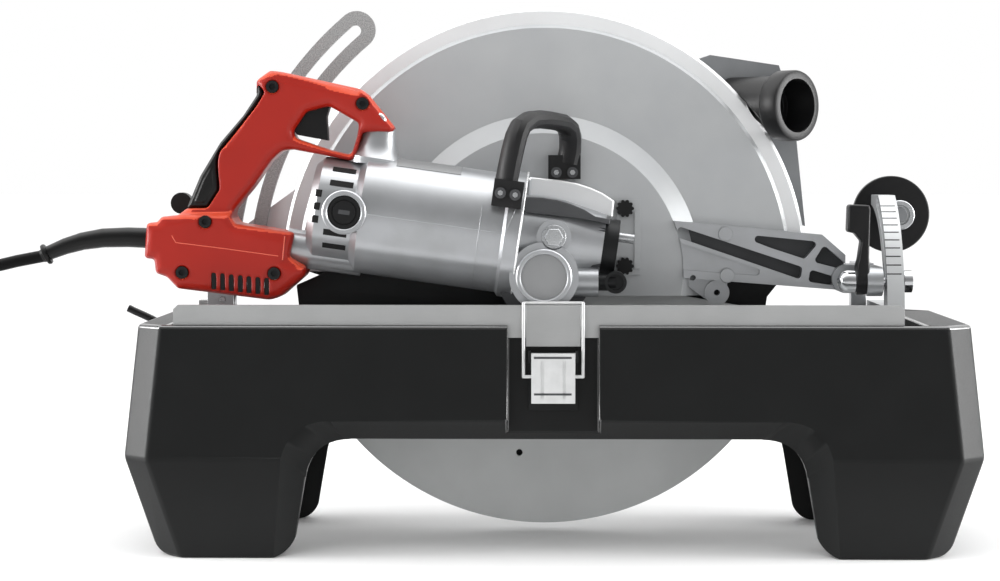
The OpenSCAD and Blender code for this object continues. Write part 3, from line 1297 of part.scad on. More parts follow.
module cord_plug() color("#1a1a1a") translate(coil_end + [cord_d, 0, 0]) rotate([0, 90, 0]) {
    plug_end = plug_body_l + plug_neck_l / 4;
    rotate_extrude() polygon([[0, 0], [cord_r + edge / 2, 0], [cord_r + edge, plug_neck_l],
        [plug_body_r, plug_neck_l * 5 / 4], [plug_body_r, plug_end], [plug_body_r - edge, plug_end + edge],
        [0, plug_end + edge]]);
    translate([0, 0, plug_end + edge]) {
        for (s = [-1, 1]) translate([0, s * pin_gap / 2, pin_l / 2])
            cube([pin_w, pin_t, pin_l], center = true);
        translate([pin_gap * 0.75, 0, 0]) rod_z(pin_w * 0.4, 0, pin_l);
    }
}

stand_shell();
latch_base();
latch_lever();
latch_bail();
foot_plate();
latch_keeper();
bevel_quadrant();
quadrant_screws();
roller_bolt();
front_roller();
tilt_bracket();
rear_clevis();
bevel_pins();
depth_pin();
bevel_bolt();
bevel_nut();
bevel_lever();
depth_bracket();
bracket_pin();
depth_bolt();
depth_lever();
upper_guard();
guard_arm();
arm_bolts();
lower_guard();
blade();
blade_flanges();
blade_bolt();
arbor_shaft();
worm_wheel();
arbor_bearings();
gear_housing();
front_cap();
cap_knobs();
gear_shield();
oil_cap();
oil_plug();
spindle_lock();
motor_housing();
field_stator();
armature_shaft();
armature_core();
commutator();
cooling_fan();
motor_bearings();
carbon_brushes();
brush_caps();
handle_near();
handle_far();
grip_overmould();
handle_screws();
trigger();
strain_relief();
front_handle();
front_handle_screws();
dust_port();
cord_lead();
cord_coil();
cord_tie();
cord_plug();
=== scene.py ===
"""Looks of a worm drive beam saw latched on its moulded stand.

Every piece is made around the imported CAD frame, in metres, with +X to the front of the saw,
+Y to its blade side and +Z up. Sizes in the classes are in millimetres.
"""

from __future__ import annotations

import json
import logging
import math
from collections.abc import Callable, Iterable, Sequence
from dataclasses import dataclass
from enum import Enum

import bmesh
import bpy
from mathutils import Matrix, Vector


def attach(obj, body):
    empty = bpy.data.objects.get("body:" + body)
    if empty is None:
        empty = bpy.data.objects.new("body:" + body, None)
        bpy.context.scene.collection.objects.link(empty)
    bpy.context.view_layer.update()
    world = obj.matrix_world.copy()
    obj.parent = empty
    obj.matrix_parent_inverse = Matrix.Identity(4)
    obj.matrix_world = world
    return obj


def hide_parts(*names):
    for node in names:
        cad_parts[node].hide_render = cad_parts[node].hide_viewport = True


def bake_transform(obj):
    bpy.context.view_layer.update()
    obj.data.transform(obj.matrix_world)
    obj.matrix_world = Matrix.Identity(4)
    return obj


LOG = logging.getLogger("beam_saw")
MM = 0.001
IMAGE_SIZE = (1000, 581)
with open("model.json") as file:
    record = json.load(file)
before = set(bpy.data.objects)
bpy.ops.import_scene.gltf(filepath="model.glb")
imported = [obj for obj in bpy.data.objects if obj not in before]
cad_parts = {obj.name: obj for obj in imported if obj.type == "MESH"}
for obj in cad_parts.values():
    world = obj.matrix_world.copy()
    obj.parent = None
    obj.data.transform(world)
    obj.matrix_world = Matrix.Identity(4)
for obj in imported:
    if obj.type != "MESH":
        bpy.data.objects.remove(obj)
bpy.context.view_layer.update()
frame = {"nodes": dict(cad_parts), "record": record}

Outline = Sequence[tuple[float, float]]


class Grain(Enum):
    """How a surface was made, which sets the pattern of its bump."""

    CAST = "cast"
    MOULDED = "moulded"
    BRUSHED = "brushed"
    SPECKLED = "speckled"


def linear(hex_colour: str) -> tuple[float, float, float, float]:
    """Turns an sRGB hex colour into linear RGBA.

    Args:
        hex_colour: Colour such as "#a0a0a0".

    Returns:
        Linear red, green, blue and an alpha of 1.
    """
    parts = [int(hex_colour[i : i + 2], 16) / 255 for i in (1, 3, 5)]
    flat = [c / 12.92 if c <= 0.04045 else ((c + 0.055) / 1.055) ** 2.4 for c in parts]
    return flat[0], flat[1], flat[2], 1.0


def put(
    tree: bpy.types.NodeTree,
    kind: str,
    settings: dict | None = None,
    links: dict | None = None,
) -> bpy.types.Node:
    """Adds a node with its settings, and links or fills its inputs.

    Args:
        tree: Node tree that gets the node.
        kind: Blender's node type.
        settings: Attributes of the node.
        links: Input name or index to a socket or to a value.

    Returns:
        The new node.
    """
    node = tree.nodes.new(kind)
    for key, value in (settings or {}).items():
        setattr(node, key, value)
    for key, value in (links or {}).items():
        if isinstance(value, bpy.types.NodeSocket):
            tree.links.new(value, node.inputs[key])
        else:
            node.inputs[key].default_value = value
    return node


def noise(
    tree: bpy.types.NodeTree, place: bpy.types.NodeSocket, width_mm: float, detail: float, roughness: float
) -> bpy.types.NodeSocket:
    """Adds a noise pattern.

    Args:
        tree: Node tree that gets it.
        place: Coordinates.
        width_mm: Width of its patches.
        detail: Finer layers added to it.
        roughness: Weight of the finer layers.

    Returns:
        The noise, about 0.5.
    """
    given = {"Vector": place, "Scale": 1 / (width_mm * MM), "Detail": detail, "Roughness": roughness}
    return put(tree, "ShaderNodeTexNoise", links=given).outputs["Fac"]


def spread(
    tree: bpy.types.NodeTree,
    value: bpy.types.NodeSocket,
    span: tuple[float, float],
    onto: tuple[float, float] = (0.0, 1.0),
) -> bpy.types.NodeSocket:
    """Maps one range of a value onto another.

    Args:
        tree: Node tree that gets the node.
        value: Value to map.
        span: Its range.
        onto: Range of the result.

    Returns:
        The mapped value.
    """
    ends = {"From Min": span[0], "From Max": span[1], "To Min": onto[0], "To Max": onto[1]}
    return put(tree, "ShaderNodeMapRange", links={"Value": value, **ends}).outputs[0]


@dataclass(frozen=True)
class Finish:
    """A surface: what it is made of and how that looks.

    Attributes:
        name: Common name of the material.
        colour: Main colour.
        shade: Colour of its patches.
        metallic: 1 for bare metal, less for metallic paint.
        roughness: Mean roughness.
        swing: How far the roughness varies.
        grain: Kind of bump.
        grain_mm: Width of a grain, drawn coarse enough to show.
        depth_mm: Height of the bump.
        patch_mm: Width of the colour patches.
        coat: Weight of a clear coat.
        gloss: Level of the mirror part, 0.5 for common plastics.
    """

    name: str
    colour: str
    shade: str
    metallic: float = 0.0
    roughness: float = 0.5
    swing: float = 0.08
    grain: Grain = Grain.MOULDED
    grain_mm: float = 1.2
    depth_mm: float = 0.03
    patch_mm: float = 40.0
    coat: float = 0.0
    gloss: float = 0.5

    def material(self) -> bpy.types.Material:
        """Returns the Blender material, made on first use."""
        label = self.name + "_surface"
        found = bpy.data.materials.get(label)
        if found is not None:
            return found
        made = bpy.data.materials.new(label)
        made.use_nodes = True
        tree = made.node_tree
        tree.nodes.clear()
        place = put(tree, "ShaderNodeTexCoord").outputs["Object"]
        stretch = (0.06, 1.0, 1.0) if self.grain is Grain.BRUSHED else (1.0, 1.0, 1.0)
        mapped = put(tree, "ShaderNodeMapping", links={"Vector": place, "Scale": stretch}).outputs["Vector"]
        detail = 2.0 if self.grain is Grain.CAST else 3.0
        fine = noise(tree, mapped, self.grain_mm, detail, 0.55)
        if self.grain is Grain.SPECKLED:
            share = spread(tree, fine, (0.42, 0.58))
        else:
            share = spread(tree, noise(tree, place, self.patch_mm, 3.0, 0.5), (0.32, 0.68))
        tint = put(
            tree,
            "ShaderNodeMix",
            {"data_type": "RGBA"},
            {0: share, 6: linear(self.colour), 7: linear(self.shade)},
        ).outputs[2]
        rough = spread(tree, fine, (0.3, 0.7), (self.roughness - self.swing, self.roughness + self.swing))
        bump = put(
            tree, "ShaderNodeBump", links={"Height": fine, "Distance": self.depth_mm * MM, "Strength": 1.0}
        ).outputs[0]
        shader = put(
            tree,
            "ShaderNodeBsdfPrincipled",
            links={
                "Base Color": tint,
                "Roughness": rough,
                "Normal": bump,
                "Metallic": self.metallic,
                "Coat Weight": self.coat,
                "Specular IOR Level": self.gloss,
                "Coat Roughness": 0.2,
            },
        )
        put(tree, "ShaderNodeOutputMaterial", links={"Surface": shader.outputs[0]})
        return made


# Rotomoulded polyethylene: fine even texture, broad dull highlights
STAND_BLACK = Finish(
    "moulded_polyethylene", "#141515", "#121313", roughness=0.4, grain_mm=0.9, depth_mm=0.015, gloss=0.22
)
# Die-cast magnesium, blasted and lacquered: soft sheen with slow changes of tone
CAST_SILVER = Finish(
    "cast_magnesium", "#b0b2b4", "#babcbf", metallic=0.8, roughness=0.31, swing=0.01, grain=Grain.CAST,
    grain_mm=1.0, depth_mm=0.001, patch_mm=30.0,
)
# Silver paint on the cast guard: even, satin
GUARD_SILVER = Finish(
    "guard_silver_paint", "#b4b6b7", "#adafb1", metallic=0.45, roughness=0.42, swing=0.04, grain=Grain.CAST,
    grain_mm=0.7, depth_mm=0.01, patch_mm=60.0,
)
# Grey paint on the pressed lower guard: flatter than the upper one
LOWER_GREY = Finish(
    "lower_guard_grey_paint", "#c2c4c4", "#b9bbbb", metallic=0.2, roughness=0.45, swing=0.04,
    grain=Grain.CAST, grain_mm=0.7, depth_mm=0.01, patch_mm=60.0,
)
# Rolled aluminium plate: long faint rolling lines along X
ROLLED_ALUMINIUM = Finish(
    "rolled_aluminium", "#adaeae", "#a6a7a7", metallic=0.6, roughness=0.45, swing=0.05, grain=Grain.BRUSHED,
    grain_mm=0.8, depth_mm=0.008,
)
# Zinc plated steel sheet: bright, faintly cloudy
ZINC = Finish(
    "zinc_plate", "#d2d3d3", "#c8c9c9", metallic=0.35, roughness=0.36, grain=Grain.BRUSHED, grain_mm=0.6,
    depth_mm=0.006, patch_mm=12.0,
)
# Polished and plated steel: clear reflections
CHROME = Finish(
    "polished_steel", "#e4e5e7", "#d8dadc", metallic=1.0, roughness=0.12, swing=0.03, grain=Grain.CAST,
    grain_mm=2.0, depth_mm=0.004, patch_mm=14.0,
)
# Bare turned steel: faint tool marks
STEEL = Finish(
    "turned_steel", "#c4c6c8", "#b6b8ba", metallic=0.9, roughness=0.3, grain=Grain.BRUSHED, grain_mm=0.6,
    depth_mm=0.006, patch_mm=16.0,
)
# Blackened steel of screws and small fittings
BLACK_OXIDE = Finish(
    "black_oxide_steel", "#202122", "#18191a", metallic=0.4, roughness=0.4, grain=Grain.CAST, grain_mm=0.8,
    depth_mm=0.01, gloss=0.35,
)
# Glass filled nylon, pigmented: satin; its bright upper edge is a painted highlight in a finish of its own
HANDLE_RED = Finish(
    "red_nylon", "#951809", "#8d1608", roughness=0.36, swing=0.05, grain_mm=0.9, depth_mm=0.012,
    patch_mm=50.0, gloss=0.35,
)
# Black nylon of levers, knobs and caps: satin
BLACK_NYLON = Finish(
    "black_nylon", "#131314", "#101011", roughness=0.4, grain_mm=0.9, depth_mm=0.02, gloss=0.3
)
# Soft rubber moulded over the grip
GRIP_RUBBER = Finish(
    "grip_rubber", "#101010", "#0d0d0d", roughness=0.36, grain_mm=1.0, depth_mm=0.02, gloss=0.3
)
# Rubber sleeve of the front handle: a little paler
STRAP_RUBBER = Finish(
    "strap_rubber", "#1c1c1d", "#181819", roughness=0.45, grain_mm=1.0, depth_mm=0.02, gloss=0.3
)
# Rubber sheath of the cord: dull
CORD_RUBBER = Finish(
    "cord_rubber", "#0c0c0c", "#090909", roughness=0.5, grain_mm=1.0, depth_mm=0.03, gloss=0.12
)
# Hammered powder coat on the depth bracket: pale and dark specks
SPECKLED_GREY = Finish(
    "hammered_powder_coat", "#a4a5a5", "#848585", metallic=0.3, roughness=0.5, grain=Grain.SPECKLED,
    grain_mm=1.0, depth_mm=0.03,
)
# Dark lacquer on blade steel; also painted shade on the dark sheet under the guard's rear edge
BLADE_BLACK_AND_SHADE = Finish(
    "blade_lacquer", "#1a1b1c", "#141516", metallic=0.2, roughness=0.35, grain=Grain.CAST, grain_mm=1.0,
    depth_mm=0.01, gloss=0.35,
)
# The guard's raised rim, brighter than its face: painted highlight
GUARD_RIM_HIGHLIGHT = Finish(
    "guard_rim_lacquer", "#dcddde", "#d6d7d8", metallic=0.35, roughness=0.42, swing=0.04, grain=Grain.CAST,
    grain_mm=0.7, depth_mm=0.01, patch_mm=60.0,
)
# Satin cast arc under the bevel scale
QUADRANT_SILVER = Finish(
    "quadrant_satin_cast", "#c6c8c9", "#bfc1c2", metallic=0.55, roughness=0.38, swing=0.04, grain=Grain.CAST,
    grain_mm=0.7, depth_mm=0.01,
)
# Glossy coated polyethylene on the stand's rounded edges, a little paler than the stand: painted highlight
STAND_EDGE_HIGHLIGHT = Finish(
    "rubbed_polyethylene", "#1c1d1d", "#191a1a", roughness=0.2, swing=0.03, grain_mm=1.5, depth_mm=0.0,
    coat=1.0, gloss=0.9,
)
# Bright lacquer on the cast shield
SHIELD_WHITE = Finish(
    "shield_lacquer", "#e6e7e8", "#e0e1e2", metallic=0.5, roughness=0.32, swing=0.04, grain=Grain.CAST,
    grain_mm=0.9, depth_mm=0.008,
)
# Even grey floor of the level cap
CAP_GREY = Finish(
    "cap_grey_paint", "#8f9091", "#858687", metallic=0.4, roughness=0.45, grain=Grain.CAST, grain_mm=0.8,
    depth_mm=0.02,
)
# Dark grey: painted shade on the gear housing's drum, the arm's pocket floors, the sheet over the worm, the
# latch's grooves and the brush caps' slots; the own colour of the front handle's screw heads
DARK_CAST_AND_SHADE = Finish(
    "dark_cast_paint", "#47484a", "#3f4042", metallic=0.3, roughness=0.45, grain=Grain.CAST, grain_mm=0.8,
    depth_mm=0.012,
)
# Mid grey coat on the bracket of the dust port; also painted shade on the bevel quadrant's rear-facing side
GREY_PAINT_AND_SHADE = Finish(
    "bracket_grey_paint", "#7e8082", "#757779", metallic=0.3, roughness=0.45, grain=Grain.CAST, grain_mm=0.8,
    depth_mm=0.012,
)
# Upper facets of the red moulding, paler red: painted highlight from the light above
RED_TOP_HIGHLIGHT = Finish(
    "faded_red_nylon", "#cc4a30", "#c4442b", roughness=0.36, swing=0.05, grain_mm=0.9, depth_mm=0.012,
    gloss=0.35,
)
# Raised line on the red moulding, pale red: painted highlight on its edge
RED_LINE_HIGHLIGHT = Finish("worn_red_nylon", "#cc5a46", "#c4523e", roughness=0.35, depth_mm=0.01)
# Inside the housings: bronze wheel, copper windings, varnished iron and carbon
BRONZE = Finish("gear_bronze", "#b08d4a", "#9f7d3e", metallic=1.0, roughness=0.3, grain=Grain.BRUSHED)
COPPER = Finish("armature_copper", "#b06a3a", "#955730", metallic=1.0, roughness=0.35, grain=Grain.BRUSHED)
IRON = Finish("varnished_iron", "#6e6258", "#5e544b", metallic=0.6, roughness=0.5, grain=Grain.CAST)
CARBON = Finish("carbon_brush", "#2a2a2a", "#202020", roughness=0.7)
# Paint in engraved lines; also painted shade in the motor's air slots and the switch box's vents
INK_AND_SLOT_SHADE = Finish("engraved_ink", "#1c1c1c", "#181818", roughness=0.6, gloss=0.2)
# Bright line round the flange joint: painted highlight
FLANGE_HIGHLIGHT = Finish(
    "machined_edge", "#f4f5f5", "#ecedee", metallic=0.4, roughness=0.3, grain=Grain.BRUSHED, depth_mm=0.004
)
# White paper under the stand
PAPER = Finish("white_paper_floor", "#fdfdfd", "#fcfcfc", roughness=0.9, swing=0.02, depth_mm=0.0)
# Grey felt that only reflections see
FELT = Finish("grey_felt_card", "#c4c4c4", "#c0c0c0", roughness=0.9, swing=0.02, depth_mm=0.0, gloss=0.1)


@dataclass(frozen=True)
class Dressing:
    """How a CAD node's copy is finished.

    Attributes:
        finish: Surface.
        slot: The record's material slot; not used.
        edge_mm: Radius of its softened edges.
    """

    finish: Finish
    slot: str
    edge_mm: float = 0.5


def new_object(name: str, mesh: bpy.types.Mesh) -> bpy.types.Object:
    """Links a mesh into the scene at the origin.

    Args:
        name: Name of the piece.
        mesh: Its mesh, in the row frame.

    Returns:
        The object.
    """
    made = bpy.data.objects.new(name, mesh)
    bpy.context.scene.collection.objects.link(made)
    return made


def finished(name: str, work: bmesh.types.BMesh) -> bpy.types.Object:
    """Turns a mesh under construction into an object.

    Args:
        name: Name of the piece.
        work: Mesh in the row frame, which is freed.

    Returns:
        The object.
    """
    mesh = bpy.data.meshes.new(name)
    work.to_mesh(mesh)
    work.free()
    return new_object(name, mesh)


def lofted(name: str, rings: Sequence[Sequence[Vector]]) -> bpy.types.Object:
    """Joins closed rings of points in order and closes both ends.

    Args:
        name: Name of the piece.
        rings: Points of each ring, in metres.

    Returns:
        The closed piece.
    """
    work = bmesh.new()
    made = [[work.verts.new(spot) for spot in ring] for ring in rings]
    for here, ahead in zip(made, made[1:]):
        for i in range(len(here)):
            j = (i + 1) % len(here)
            work.faces.new((here[i], here[j], ahead[j], ahead[i]))
    work.faces.new(list(reversed(made[0])))
    work.faces.new(made[-1])
    bmesh.ops.recalc_face_normals(work, faces=work.faces)
    return finished(name, work)


def baked(obj: bpy.types.Object) -> bpy.types.Object:
    """Replaces an object's modifiers by the mesh that they make.

    Args:
        obj: Object with modifiers.

    Returns:
        The same object, plain.
    """
    graph = bpy.context.evaluated_depsgraph_get()
    mesh = bpy.data.meshes.new_from_object(obj.evaluated_get(graph))
    obj.modifiers.clear()
    old = obj.data
    obj.data = mesh
    bpy.data.meshes.remove(old)
    return obj


def smooth(obj: bpy.types.Object, angle: float = 32.0) -> bpy.types.Object:
    """Shades an object smooth, with edges above the angle kept sharp.

    Args:
        obj: Object with a plain mesh.
        angle: Least angle of a sharp edge, in degrees.

    Returns:
        The same object.
    """
    obj.data.polygons.foreach_set("use_smooth", [True] * len(obj.data.polygons))
    obj.data.set_sharp_from_angle(angle=math.radians(angle))
    return obj


def settle(
    obj: bpy.types.Object, body: str, finish: Finish, nodes: Iterable[str] = ()
) -> bpy.types.Object:
    """Paints a finished piece, and fixes it to its body and its CAD nodes.

    Args:
        obj: Finished piece at the origin.
        body: CAD body it rides on.
        finish: Surface.
        nodes: CAD nodes that it stands for.

    Returns:
        The same object.
    """
    obj.data.materials.clear()
    obj.data.materials.append(finish.material())
    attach(obj, body)
    if nodes:
        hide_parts(*nodes)
    LOG.info("%s rides on %s", obj.name, body)
    return obj


def shade_faces(
    obj: bpy.types.Object,
    finish: Finish,
    rule: Callable[[Vector, Vector], bool],
) -> bpy.types.Object:
    """Gives some faces of a painted piece a second finish.

    Args:
        obj: Painted piece at the origin.
        finish: Second surface.
        rule: Whether a face takes it, from its centre in millimetres and its normal.

    Returns:
        The same piece.
    """
    obj.data.materials.append(finish.material())
    index = len(obj.data.materials) - 1
    for face in obj.data.polygons:
        if rule(face.center / MM, face.normal):
            face.material_index = index
    return obj


def body_of_node(node: str) -> str:
    """Finds the CAD body that a node belongs to.

    Args:
        node: CAD node.

    Returns:
        Name of the body.
    """
    bodies = frame["record"]["behaviour"]["bodies"]
    return next(name for name, members in bodies.items() if node in members)


def merged_copy(node: str, name: str) -> bpy.types.Object:
    """Copies a CAD node's mesh with its triangles joined into faces.

    Args:
        node: CAD node.
        name: Name of the copy.

    Returns:
        A new object, with no material.
    """
    work = bmesh.new()
    work.from_mesh(frame["nodes"][node].data)
    bmesh.ops.remove_doubles(work, verts=work.verts, dist=0.01 * MM)
    bmesh.ops.dissolve_limit(work, angle_limit=math.radians(0.6), verts=work.verts, edges=work.edges)
    return finished(name, work)


def soften(
    obj: bpy.types.Object,
    edge_mm: float,
    segments: int = 2,
    angle: float = 28.0,
    clamp: bool = True,
) -> bpy.types.Object:
    """Rounds the sharp edges of a piece and shades it smooth, with its flat faces kept flat.

    Args:
        obj: Object with a plain mesh.
        edge_mm: Radius of the edges.
        segments: Facets across an edge.
        angle: Least angle of an edge that is rounded, in degrees.
        clamp: Whether the radius shrinks where edges are short.

    Returns:
        The same object.
    """
    bevel = obj.modifiers.new("edges", "BEVEL")
    bevel.width = edge_mm * MM
    bevel.segments = segments
    bevel.limit_method = "ANGLE"
    bevel.angle_limit = math.radians(angle)
    bevel.use_clamp_overlap = clamp
    baked(obj)
    return level(smooth(obj))


def round_long_edges(obj: bpy.types.Object, edge_mm: float, least_mm: float) -> bpy.types.Object:
    """Rounds the sharp edges that are longer than a length, whatever lies next to them.

    Args:
        obj: Object with a plain mesh.
        edge_mm: Radius of the edges.
        least_mm: Shortest edge that is rounded.

    Returns:
        The same object.
    """
    work = bmesh.new()
    work.from_mesh(obj.data)
    least_angle = math.radians(30)
    long = [e for e in work.edges if e.is_manifold and e.calc_length() > least_mm * MM]
    sharp = [e for e in long if abs(e.calc_face_angle_signed(0.0)) > least_angle]
    bmesh.ops.bevel(
        work, geom=sharp, offset=edge_mm * MM, offset_type="OFFSET", segments=3, profile=0.5, affect="EDGES",
        clamp_overlap=False,
    )
    work.to_mesh(obj.data)
    work.free()
    return level(smooth(obj))


def level(obj: bpy.types.Object) -> bpy.types.Object:
    """Turns an object's shading normals to those of its large faces.

    Args:
        obj: Smooth shaded object.

    Returns:
        The same object.
    """
    weigh = obj.modifiers.new("normals", "WEIGHTED_NORMAL")
    weigh.keep_sharp = True
    weigh.weight = 60
    return baked(obj)


def dress(node: str, dressing: Dressing) -> bpy.types.Object:
    """Replaces a CAD node by a copy with soft edges and its finish.

    Args:
        node: CAD node.
        dressing: Finish, slot and edge radius.

    Returns:
        The new piece.
    """
    piece = soften(merged_copy(node, node + "_dressed"), dressing.edge_mm)
    return settle(piece, body_of_node(node), dressing.finish, [node])


def filleted(points: Outline, radius: float, steps: int = 5) -> list[tuple[float, float]]:
    """Rounds the corners of a closed outline with arcs.

    Args:
        points: Corners in order.
        radius: Radius of each corner, less where its sides are short.
        steps: Points on each arc.

    Returns:
        The rounded outline.
    """
    made: list[tuple[float, float]] = []
    count = len(points)
    for i in range(count):
        here = Vector(points[i])
        back = Vector(points[i - 1]) - here
        ahead = Vector(points[(i + 1) % count]) - here
        turn = back.angle(ahead)
        cut = radius / math.tan(turn / 2) if turn > 0.01 else 0.0
        cut = min(cut, back.length * 0.45, ahead.length * 0.45)
        start = here + back.normalized() * cut
        end = here + ahead.normalized() * cut
        for k in range(steps + 1):
            t = k / steps
            spot = start * (1 - t) ** 2 + here * 2 * t * (1 - t) + end * t * t
            made.append((spot.x, spot.y))
    return made


def plate(
    name: str, outlines: Sequence[Outline], half: float, edge: float, place: Matrix
) -> bpy.types.Object:
    """Makes a plate with rounded edges from outlines, the first outside and the rest holes.

    Args:
        name: Name of the piece.
        outlines: Closed outlines in millimetres, in the plate's plane.
        half: Half its thickness.
        edge: Radius of its edges.
        place: Matrix from the plate's plane, in metres, to the row frame.

    Returns:
        The plate as a mesh object.
    """
    curve = bpy.data.curves.new(name, "CURVE")
    curve.dimensions = "2D"
    curve.fill_mode = "BOTH"
    curve.extrude = max(half - edge, 0.0) * MM
    curve.bevel_depth = edge * MM
    curve.bevel_resolution = 3
    curve.offset = -edge * MM
    for outline in outlines:
        spline = curve.splines.new("POLY")
        spline.points.add(len(outline) - 1)
        for point, (x, y) in zip(spline.points, outline):
            point.co = (x * MM, y * MM, 0.0, 1.0)
        spline.use_cyclic_u = True
    draft = bpy.data.objects.new(name + "_draft", curve)
    bpy.context.scene.collection.objects.link(draft)
    graph = bpy.context.evaluated_depsgraph_get()
    mesh = bpy.data.meshes.new_from_object(draft.evaluated_get(graph))
    bpy.data.objects.remove(draft)
    bpy.data.curves.remove(curve)
    work = bmesh.new()
    work.from_mesh(mesh)
    bmesh.ops.remove_doubles(work, verts=work.verts, dist=0.02 * MM)
    bmesh.ops.recalc_face_normals(work, faces=work.faces)
    work.transform(place)
    work.to_mesh(mesh)
    work.free()
    return new_object(name, mesh)


def lathe(name: str, profile: Outline, place: Matrix, steps: int = 72) -> bpy.types.Object:
    """Turns a closed profile about the Z axis of its own frame.

    Args:
        name: Name of the piece.
        profile: Radius and height pairs in millimetres, closed.
        place: Matrix from the turned frame, in metres, to the row frame.
        steps: Facets round the axis.

    Returns:
        The turned piece.
    """
    work = bmesh.new()
    rings = []
    for k in range(steps):
        a = 2 * math.pi * k / steps
        x, y = MM * math.cos(a), MM * math.sin(a)
        rings.append([work.verts.new((r * x, r * y, z * MM)) for r, z in profile])
    for k in range(steps):
        here, ahead = rings[k], rings[(k + 1) % steps]
        for i in range(len(profile)):
            j = (i + 1) % len(profile)
            work.faces.new((here[i], ahead[i], ahead[j], here[j]))
    bmesh.ops.remove_doubles(work, verts=work.verts, dist=0.005 * MM)
    bmesh.ops.dissolve_degenerate(work, edges=work.edges, dist=0.004 * MM)
    bmesh.ops.recalc_face_normals(work, faces=work.faces)
    work.transform(place)
    return finished(name, work)


def block(name: str, low: Sequence[float], high: Sequence[float], place: Matrix) -> bpy.types.Object:
    """Makes a box between two corners.

    Args:
        name: Name of the piece.
        low: Lowest corner in millimetres.
        high: Highest corner in millimetres.
        place: Matrix from the box's frame, in metres, to the row frame.

    Returns:
        The box.
    """
    work = bmesh.new()
    bmesh.ops.create_cube(work, size=1.0)
    for vert in work.verts:
        vert.co = Vector([(low[k] + (vert.co[k] + 0.5) * (high[k] - low[k])) * MM for k in range(3)])
    work.transform(place)
    return finished(name, work)


def remove(obj: bpy.types.Object) -> None:
    """Deletes an object and its mesh.

    Args:
        obj: Object that is no longer needed.
    """
    mesh = obj.data
    bpy.data.objects.remove(obj)
    bpy.data.meshes.remove(mesh)


def joined(name: str, parts: Sequence[bpy.types.Object]) -> bpy.types.Object:
    """Joins meshes into one object.

    Args:
        name: Name of the piece.
        parts: Objects at the origin, which are removed.

    Returns:
        The joined object.
    """
    work = bmesh.new()
    for part in parts:
        work.from_mesh(part.data)
    for part in parts:
        remove(part)
    return finished(name, work)


def moulded(obj: bpy.types.Object, voxel_mm: float, rounds: int) -> bpy.types.Object:
    """Fuses overlapping solids into one casting with blended corners.

    Args:
        obj: Object whose closed meshes overlap.
        voxel_mm: Size of the fused mesh's faces.
        rounds: How often the corners are eased.

    Returns:
        The same object.
    """
    fuse = obj.modifiers.new("fuse", "REMESH")
    fuse.mode = "VOXEL"
    fuse.voxel_size = voxel_mm * MM
    fuse.use_smooth_shade = True
    ease = obj.modifiers.new("ease", "SMOOTH")
    ease.factor = 0.5
    ease.iterations = rounds
    baked(obj)
    return smooth(obj, 60.0)


def carved(obj: bpy.types.Object, cutters: Sequence[bpy.types.Object]) -> bpy.types.Object:
    """Cuts solids out of a piece.

    Args:
        obj: Piece.
        cutters: Closed solids, which are removed.

    Returns:
        The same piece.
    """
    for i, cutter in enumerate(cutters):
        cut = obj.modifiers.new(f"cut_{i}", "BOOLEAN")
        cut.operation = "DIFFERENCE"
        cut.solver = "EXACT"
        cut.object = cutter
    baked(obj)
    for cutter in cutters:
        remove(cutter)
    return obj


class ShapeTree:
    """Geometry Nodes with named sizes and a finish, which end in real, painted geometry."""

    def __init__(self, name: str, sizes: Sequence[str]) -> None:
        """Starts the tree with its inputs.

        Args:
            name: Name of the tree.
            sizes: Names of its sizes.
        """
        self.tree = bpy.data.node_groups.new(name, "GeometryNodeTree")
        face = self.tree.interface
        face.new_socket("Geometry", in_out="INPUT", socket_type="NodeSocketGeometry")
        face.new_socket("Geometry", in_out="OUTPUT", socket_type="NodeSocketGeometry")
        kinds = {**dict.fromkeys(sizes, "NodeSocketFloat"), "Finish": "NodeSocketMaterial"}
        self.sockets = {
            key: face.new_socket(key, in_out="INPUT", socket_type=kind).identifier
            for key, kind in kinds.items()
        }
        self.given = put(self.tree, "NodeGroupInput").outputs

    def close(self, shape: bpy.types.NodeSocket) -> None:
        """Ends the tree.

        Args:
            shape: Geometry that it has made.
        """
        real = put(self.tree, "GeometryNodeRealizeInstances", links={0: shape}).outputs[0]
        links = {"Geometry": real, "Material": self.given["Finish"]}
        painted = put(self.tree, "GeometryNodeSetMaterial", links=links).outputs[0]
        put(self.tree, "NodeGroupOutput", links={0: painted})

    def run_on(self, obj: bpy.types.Object, sizes: dict[str, float], finish: Finish) -> None:
        """Gives an object this tree as a modifier.

        Args:
            obj: Object with the points or lines.
            sizes: Sizes in millimetres by input name.
            finish: Surface.
        """
        shape = obj.modifiers.new("shape", "NODES")
        shape.node_group = self.tree
        for key, value in sizes.items():
            shape[self.sockets[key]] = value * MM
        shape[self.sockets["Finish"]] = finish.material()


